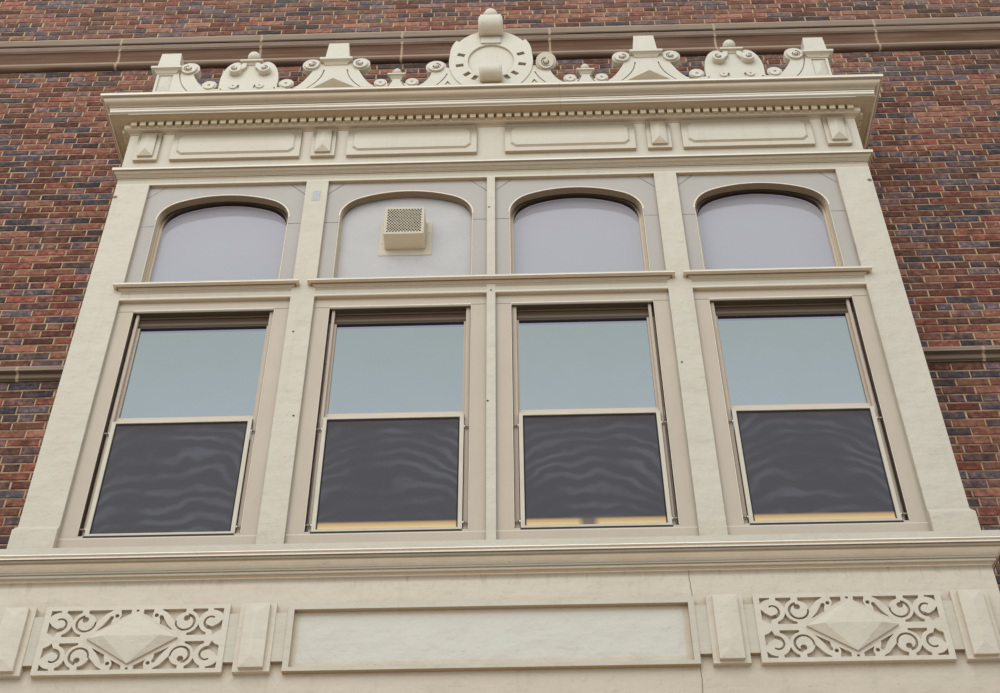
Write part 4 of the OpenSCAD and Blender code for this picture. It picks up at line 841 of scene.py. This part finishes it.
class MeshMaker:
    """Collects vertices and faces, and the tone of each face."""

    def __init__(self):
        self.points = []
        self.faces = []
        self.tones = []

    def face(self, corners, tone=(0.5, 0.5, 0.5)):
        start = len(self.points)
        self.points.extend(corners)
        self.faces.append(tuple(range(start, start + len(corners))))
        self.tones.append(tone)

    def finish(self, name, material, replaced=()):
        mesh = bpy.data.meshes.new(name)
        mesh.from_pydata([tuple(p) for p in self.points], [], self.faces)
        layer = mesh.color_attributes.new("brick_tone", "FLOAT_COLOR", "CORNER")
        values = []
        for face, tone in zip(self.faces, self.tones):
            values.extend((*tone, 1.0) * len(face))
        layer.data.foreach_set("color", values)
        mesh.materials.append(material)
        mesh.validate()
        obj = bpy.data.objects.new(name, mesh)
        bpy.context.scene.collection.objects.link(obj)
        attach(obj, "root")
        if replaced:
            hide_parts(*replaced)
        return obj


# Brickwork

CHAMFER = 0.003
FACE_SLIP = 0.003  # how far back a corner of a brick's face may lie
UPRIGHT_SLIP = 0.002  # how far an upright edge of a brick strays
LEVEL_SLIP = 0.0014  # and a level one
BITE = 0.002  # how far a brick's sides run into the mortar
END_GAP = 0.003  # left free at the end of a course
SHORTEST = 0.02  # no shorter piece of brick is laid
THINNEST = 0.015  # and no thinner course


class WallFace:
    """A flat face to lay bricks on: a corner, the way along it and the way out of it."""

    def __init__(self, corner, along, out):
        self.corner = Vector(corner)
        self.along = Vector(along)
        self.out = Vector(out)

    def point(self, u, z, depth):
        """u metres along, z up, and depth metres back from the face."""
        return self.corner + self.along * u + Vector((0, 0, z)) - self.out * depth


def brick(maker, face, u0, u1, z0, z1):
    """One brick with softened edges, slightly out of true, its sides running back to the mortar."""
    tone = (RNG.random(), RNG.random(), RNG.random())
    u0, u1 = (u + RNG.uniform(-UPRIGHT_SLIP, UPRIGHT_SLIP) for u in (u0, u1))
    z0, z1 = (z + RNG.uniform(-LEVEL_SLIP, LEVEL_SLIP) for z in (z0, z1))
    set_back = [RNG.uniform(0.0, FACE_SLIP) for _ in range(4)]
    deepest = max(set_back) + CHAMFER
    rings = []
    for inset, depths in ((CHAMFER, set_back), (0.0, [d + CHAMFER for d in set_back]),
                          (0.0, [max(deepest, RECESS) + BITE] * 4)):
        a0, a1, b0, b1 = u0 + inset, u1 - inset, z0 + inset, z1 - inset
        corners = ((a0, b0), (a1, b0), (a1, b1), (a0, b1))
        rings.append([face.point(u, z, depth) for (u, z), depth in zip(corners, depths)])
    turned = face.along.cross(Vector((0, 0, 1))).dot(face.out) < 0
    front = rings[0]
    maker.face(front[::-1] if turned else front, tone)
    for inner, outer in zip(rings, rings[1:]):
        for i in range(4):
            j = (i + 1) % 4
            quad = [inner[i], outer[i], outer[j], inner[j]]
            maker.face(quad[::-1] if turned else quad, tone)


def lay_bricks(maker, face, width, z_low, z_high, phase):
    """Fills a face with courses; every sixth course is of headers."""
    first = math.ceil((z_low - HEADER_Z) / COURSE - 0.5)
    last = math.floor((z_high - HEADER_Z) / COURSE + 0.5)
    for course in range(first, last + 1):
        mid = HEADER_Z + course * COURSE
        z0 = max(mid - COURSE / 2 + JOINT / 2, z_low)
        z1 = min(mid + COURSE / 2 - JOINT / 2, z_high)
        if z1 - z0 < THINNEST:
            continue
        header = course % HEADER_EVERY == 0
        pitch = BRICK_L / 2 if header else BRICK_L
        if header:
            start = phase + BRICK_L / 8
        else:
            start = phase + (BRICK_L / 2 if course % 2 else 0.0)
        count = int(width / pitch) + 3
        begin = start - math.ceil(start / pitch) * pitch - pitch
        for i in range(count):
            u0 = max(begin + i * pitch + JOINT / 2, END_GAP)
            u1 = min(begin + (i + 1) * pitch - JOINT / 2, width - END_GAP)
            if u1 - u0 > SHORTEST:
                brick(maker, face, u0, u1, z0 + LEVEL_SLIP, z1 - LEVEL_SLIP)


def core(maker, low, high):
    """The mortar body of a wall, set back a joint's depth behind its bricks."""
    x0, y0, z0 = low
    x1, y1, z1 = high
    corners = [Vector((x, y, z)) for z in (z0, z1) for y in (y0, y1) for x in (x0, x1)]
    for quad in ((0, 2, 3, 1), (4, 5, 7, 6), (0, 1, 5, 4), (2, 6, 7, 3), (0, 4, 6, 2), (1, 3, 7, 5)):
        maker.face([corners[i] for i in quad])


def brick_wall(name, node, foot=0.0):
    """Brickwork on the four upright faces of a wall node; its mortar may stop short of its foot."""
    low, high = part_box(node)
    wide, deep = high.x - low.x, high.y - low.y
    phase = -low.x % BRICK_L
    mortar_body = MeshMaker()
    core_low = (low.x + RECESS, low.y + RECESS, low.z + foot)
    core_high = (high.x - RECESS, high.y - RECESS, high.z)
    core(mortar_body, core_low, core_high)
    mortar_body.finish(name + "_mortar", MORTAR, (node,))
    bricks = MeshMaker()
    for corner, along, out, width, start in (
            ((low.x, low.y, 0), (1, 0, 0), (0, -1, 0), wide, phase),
            ((low.x, high.y, 0), (1, 0, 0), (0, 1, 0), wide, phase),
            ((low.x, low.y, 0), (0, 1, 0), (-1, 0, 0), deep, 0.0),
            ((high.x, low.y, 0), (0, 1, 0), (1, 0, 0), deep, 0.0)):
        lay_bricks(bricks, WallFace(corner, along, out), width, low.z, high.z, start)
    bricks.finish(name + "_bricks", BRICK, (node,))


def brickwork():
    brick_wall("left_wall", "wall_left")
    brick_wall("right_wall", "wall_right")
    brick_wall("upper_wall", "wall_above", RECESS)


# Beads, linings and stops of the windows

BEAD_WIDE = 0.011
SIDE_BEAD = 0.004
BEAD_OUT = 0.003
ARCH_DROP = 0.036
ARCH_RISE = 0.279
# widths of the painted shadow line and of the painted reflection line on the arched glass
SHADOW_LINE_WIDE = 0.018
SKY_EDGE_WIDE = 0.009
NEAR = 0.001  # a smaller distance counts as none
Y_AXIS, Z_AXIS = 1, 2
LOWER_MIDDLE_Z, UPPER_MIDDLE_Z = 2.0, 3.5  # a height well inside each opening


def front_outline(obj):
    """The edges of a node's foremost faces, as pairs of points, each met once."""
    mesh = obj.data
    front = min(v.co.y for v in mesh.vertices)
    seen = {}
    for face in mesh.polygons:
        if face.normal.y > -0.9 or abs(face.center.y - front) > NEAR:
            continue
        for a, b in face.edge_keys:
            ends = [tuple(round(c, 5) for c in mesh.vertices[i].co) for i in (a, b)]
            key = tuple(sorted(ends))
            seen[key] = seen.get(key, 0) + 1
    return [(Vector(p), Vector(q)) for (p, q), count in seen.items() if count == 1]


def window_middle(x):
    """The middle of the window that x lies in."""
    return min((-OUTER_X, -INNER_X, INNER_X, OUTER_X), key=lambda middle: abs(x - middle))


def opening_edges(obj):
    """The edges round both openings of a window frame, but not its own outer edges or the feet."""
    low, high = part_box(obj.name)
    outer = (low.z, TRANSOM_Z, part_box("transoms")[1].z, high.z)
    picked = []
    for p, q in front_outline(obj):
        mid = (p + q) / 2
        inside = abs(mid.x - window_middle(mid.x)) < BOARD_HALF - 0.02
        level = abs(p.z - q.z) < NEAR
        at_foot = mid.z < OPEN_FOOT_Z + 0.01 or TRANSOM_Z < mid.z < SPRING_Z - 0.1
        on_limit = min(abs(mid.z - z) for z in outer) < 0.004
        if inside and not (level and (at_foot or on_limit)):
            picked.append((p, q))
    return picked


def opening_centre(mid):
    """The middle of the opening that an edge belongs to, on the board's face."""
    height = LOWER_MIDDLE_Z if mid.z < TRANSOM_Z else UPPER_MIDDLE_Z
    return Vector((window_middle(mid.x), mid.y, height))


def face_down_axis(maker, quad, axis):
    """Adds a face, turned to look down the given axis."""
    normal = (quad[1] - quad[0]).cross(quad[3] - quad[0])
    maker.face(quad if normal[axis] < 0 else quad[::-1])


def strip(maker, p, q, start, end, out):
    """A strip beside an edge, from start to end metres away from the opening, raised by out."""
    along = (q - p).normalized()
    away = Vector((-along.z, 0, along.x))
    if away.dot((p + q) / 2 - opening_centre((p + q) / 2)) < 0:
        away = -away
    raised = Vector((0, -out, 0))
    rows = []
    for point in (p, q):
        rows.append([point + away * start, point + away * (start * 0.8 + end * 0.2) + raised,
                     point + away * (start * 0.3 + end * 0.7) + raised, point + away * end])
    for i in range(3):
        face_down_axis(maker, [rows[0][i], rows[0][i + 1], rows[1][i + 1], rows[1][i]], Y_AXIS)


def fade_in(p, q, reach):
    """0 at the springing of an arch, growing to 1 at reach metres above it."""
    return min(max(((p.z + q.z) / 2 - SPRING_Z) / reach, 0.0), 1.0)


def lowered(point):
    """A point of the arch brought down to the inner edge of its lining."""
    above = max(point.z - SPRING_Z, 0.0)
    return Vector((point.x, point.y, point.z - above * ARCH_DROP / ARCH_RISE))


def line_arch(maker, p, q, depth):
    """The lining between an edge of the arch and the same edge brought down."""
    low_p, low_q = lowered(p), lowered(q)
    back = Vector((0, depth, 0))
    face_down_axis(maker, [p, q, low_q, low_p], Y_AXIS)
    face_down_axis(maker, [low_p, low_q, low_q + back, low_p + back], Z_AXIS)


def trim_windows():
    """Linings under the arches and a bead on the arris of every opening, bright cream as a painted
    highlight.
    """
    linings = MeshMaker()
    beads = MeshMaker()
    for i in (1, 2, 3, 4):
        obj = NODES["window_frame_%d" % i]
        low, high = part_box(obj.name)
        for p, q in opening_edges(obj):
            if max(p.z, q.z) > SPRING_Z + NEAR:
                line_arch(linings, p, q, high.y - low.y)
            upright_edge = abs(p.x - q.x) < NEAR
            strip(beads, lowered(p), lowered(q), 0.0, SIDE_BEAD if upright_edge else BEAD_WIDE, BEAD_OUT)
    linings.finish("arch_linings", ARCH_BOARD)
    beads.finish("opening_beads", ARRIS_HIGHLIGHT)


def trim_glass():
    """A dark line of painted shadow under each arch of the glass and a lavender line of painted reflection
    below it.
    """
    shadows = MeshMaker()
    sky_edge_strips = MeshMaker()
    skin = Vector((0, -0.001, 0))
    for p, q in front_outline(NODES["arched_glass"]):
        wide = fade_in(p, q, 0.15)
        if wide > 0.0:
            dark, pale = SHADOW_LINE_WIDE * wide, (SHADOW_LINE_WIDE + SKY_EDGE_WIDE) * wide
            strip(shadows, p + skin, q + skin, 0.0, -dark, 0.002)
            strip(sky_edge_strips, p + skin, q + skin, -dark, -pale, 0.001)
    shadows.finish("glazing_shadow_lines", GLAZING_SHADOW_LINE)
    sky_edge_strips.finish("sky_edge_reflection_lines", SKY_EDGE_REFLECTION)


def upright(maker, x0, x1, y0, y1, z0, z1):
    """An upright strip with softened front edges."""
    soft = 0.003
    ring = [(x0, y1), (x0, y0 + soft), (x0 + soft, y0), (x1 - soft, y0), (x1, y0 + soft), (x1, y1)]
    for (ax, ay), (bx, by) in zip(ring, ring[1:]):
        maker.face([Vector((ax, ay, z0)), Vector((bx, by, z0)), Vector((bx, by, z1)), Vector((ax, ay, z1))])
    for z in (z0, z1):
        cap = [Vector((x, y, z)) for x, y in ring]
        maker.face(cap[::-1] if z == z1 else cap)


def side_stops():
    """The stops behind the screens; the ones towards the middle of the bay reach the boards."""
    near, far = SCREEN_HALF + 0.002, SCREEN_HALF + 0.022
    edge = SCREEN_HALF + 0.034
    frame_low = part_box("window_frame_1")[0]
    front, back = frame_low.y + 0.030, frame_low.y + 0.054
    maker = MeshMaker()
    for side in (-1, 1):
        for middle in (side * INNER_X, side * OUTER_X):
            for way, reach in ((side, far), (-side, edge)):
                x0, x1 = sorted((middle + way * near, middle + way * reach))
                upright(maker, x0, x1, front, back, OPEN_FOOT_Z, OPEN_TOP_Z)
    maker.finish("side_stops", STOP)


# Screws of the vent's flange

def dome(maker, centre, radius, out_by):
    """A low round head that bulges towards the viewer."""
    around = 10
    rim = []
    shoulder = []
    for i in range(around):
        turn = 2 * math.pi * i / around
        ray = Vector((math.cos(turn), 0, math.sin(turn)))
        rim.append(centre + ray * radius)
        shoulder.append(centre + ray * radius * 0.7 + Vector((0, -out_by * 0.8, 0)))
    peak = centre + Vector((0, -out_by, 0))
    for i in range(around):
        j = (i + 1) % around
        maker.face([rim[i], rim[j], shoulder[j], shoulder[i]])
        maker.face([shoulder[i], shoulder[j], peak])


def flange_screws():
    low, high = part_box("vent_hood")
    plate_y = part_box("vent_panel")[0].y - 0.004
    inset = 0.020
    rows = 4
    radius, height = 0.006, 0.003
    maker = MeshMaker()
    for x in (low.x + inset, high.x - inset):
        for i in range(rows):
            z = low.z + inset + (high.z - low.z - 2 * inset) * i / (rows - 1)
            dome(maker, Vector((x, plate_y, z)), radius, height)
    maker.finish("flange_screws", ALUMINIUM)


# A piece of tape on the left window pier, its corners as x and z

TAPE = ((-1.248, 3.884), (-1.195, 3.883), (-1.186, 3.983), (-1.243, 3.985))
TAPE_THICK = 0.0015


def tape_patch():
    pier_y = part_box("window_pier_left")[0].y
    maker = MeshMaker()
    back = [Vector((x, pier_y, z)) for x, z in TAPE]
    front = [Vector((x, pier_y - TAPE_THICK, z)) for x, z in TAPE]
    maker.face(front)
    for i in range(4):
        j = (i + 1) % 4
        maker.face([back[i], back[j], front[j], front[i]])
    maker.finish("tape_patch", TAPE_GREY)


# Stage, light and camera: metres, degrees, and millimetres for the lens

CAMERA_PLACE = (0.194, -6.492, -3.271)
PITCH, YAW, ROLL = 42.87, -1.28, 0.37
SENSOR_WIDE = 36.0
FOCAL_LENGTH = 48.78


def plain_floor():
    """A pale floor that lights the underside of the bay; seen from beneath, it lets the view through."""
    half = 24.0
    mesh = bpy.data.meshes.new("floor")
    corners = [(-half, -half, 0), (half, -half, 0), (half, half, 0), (-half, half, 0)]
    mesh.from_pydata(corners, [], [(0, 1, 2, 3)])
    s = Shader("floor_paint")
    clouds = s.noise(0.4, 3.0)
    tint = s.mix(s.span(clouds, 0.3, 0.7), srgb(0.78, 0.76, 0.73), srgb(0.81, 0.79, 0.76))
    pale = s.node("BsdfDiffuse", {"Color": tint})
    clear = s.node("BsdfTransparent")
    beneath = s.node("NewGeometry").outputs["Backfacing"]
    seen = s.node("LightPath").outputs["Is Camera Ray"]
    both = s.node("MixShader", {0: s.times(beneath, seen), 1: pale.outputs[0], 2: clear.outputs[0]})
    s.put(s.out.inputs["Surface"], both.outputs[0])
    mesh.materials.append(s.mat)
    obj = bpy.data.objects.new("floor", mesh)
    obj.location.z = -0.002
    bpy.context.scene.collection.objects.link(obj)


def backdrop_light():
    world = bpy.data.worlds.new("studio")
    world.use_nodes = True
    tree = world.node_tree
    sky = tree.nodes["Background"]
    sky.inputs["Color"].default_value = (0.93, 0.96, 1.0, 1.0)
    sky.inputs["Strength"].default_value = 0.80
    bpy.context.scene.world = world


def soft_lamp(name, place, aim, size, power, colour):
    data = bpy.data.lights.new(name, "AREA")
    data.shape = "SQUARE"
    data.size = size
    data.energy = power
    data.color = colour
    obj = bpy.data.objects.new(name, data)
    obj.location = place
    obj.rotation_euler = (Vector(aim) - Vector(place)).to_track_quat("-Z", "Y").to_euler()
    obj.visible_glossy = False
    bpy.context.scene.collection.objects.link(obj)


def lights():
    backdrop_light()
    soft_lamp("key", place=(-3.5, -11.0, 10.0), aim=(0, 0, 3.0), size=12.0, power=900,
              colour=(1.0, 0.98, 0.95))


def camera():
    """Looks up at the bay from close below, as the photograph does."""
    pitch, yaw, roll = (math.radians(degrees) for degrees in (PITCH, YAW, ROLL))
    ahead = Vector((math.sin(yaw) * math.cos(pitch), math.cos(yaw) * math.cos(pitch), math.sin(pitch)))
    level = Vector((math.cos(yaw), -math.sin(yaw), 0))
    down = ahead.cross(level)
    right = level * math.cos(roll) + down * math.sin(roll)
    up = level * math.sin(roll) - down * math.cos(roll)
    data = bpy.data.cameras.new("camera")
    data.sensor_width = SENSOR_WIDE
    data.lens = FOCAL_LENGTH
    obj = bpy.data.objects.new("camera", data)
    turn = Matrix((right, up, -ahead)).transposed()
    obj.matrix_world = Matrix.Translation(CAMERA_PLACE) @ turn.to_4x4()
    bpy.context.scene.collection.objects.link(obj)
    bpy.context.scene.camera = obj


def colour_management():
    bpy.context.scene.view_settings.view_transform = "Standard"


dress_nodes()
brickwork()
trim_windows()
trim_glass()
side_stops()
flange_screws()
tape_patch()
plain_floor()
lights()
camera()
colour_management()
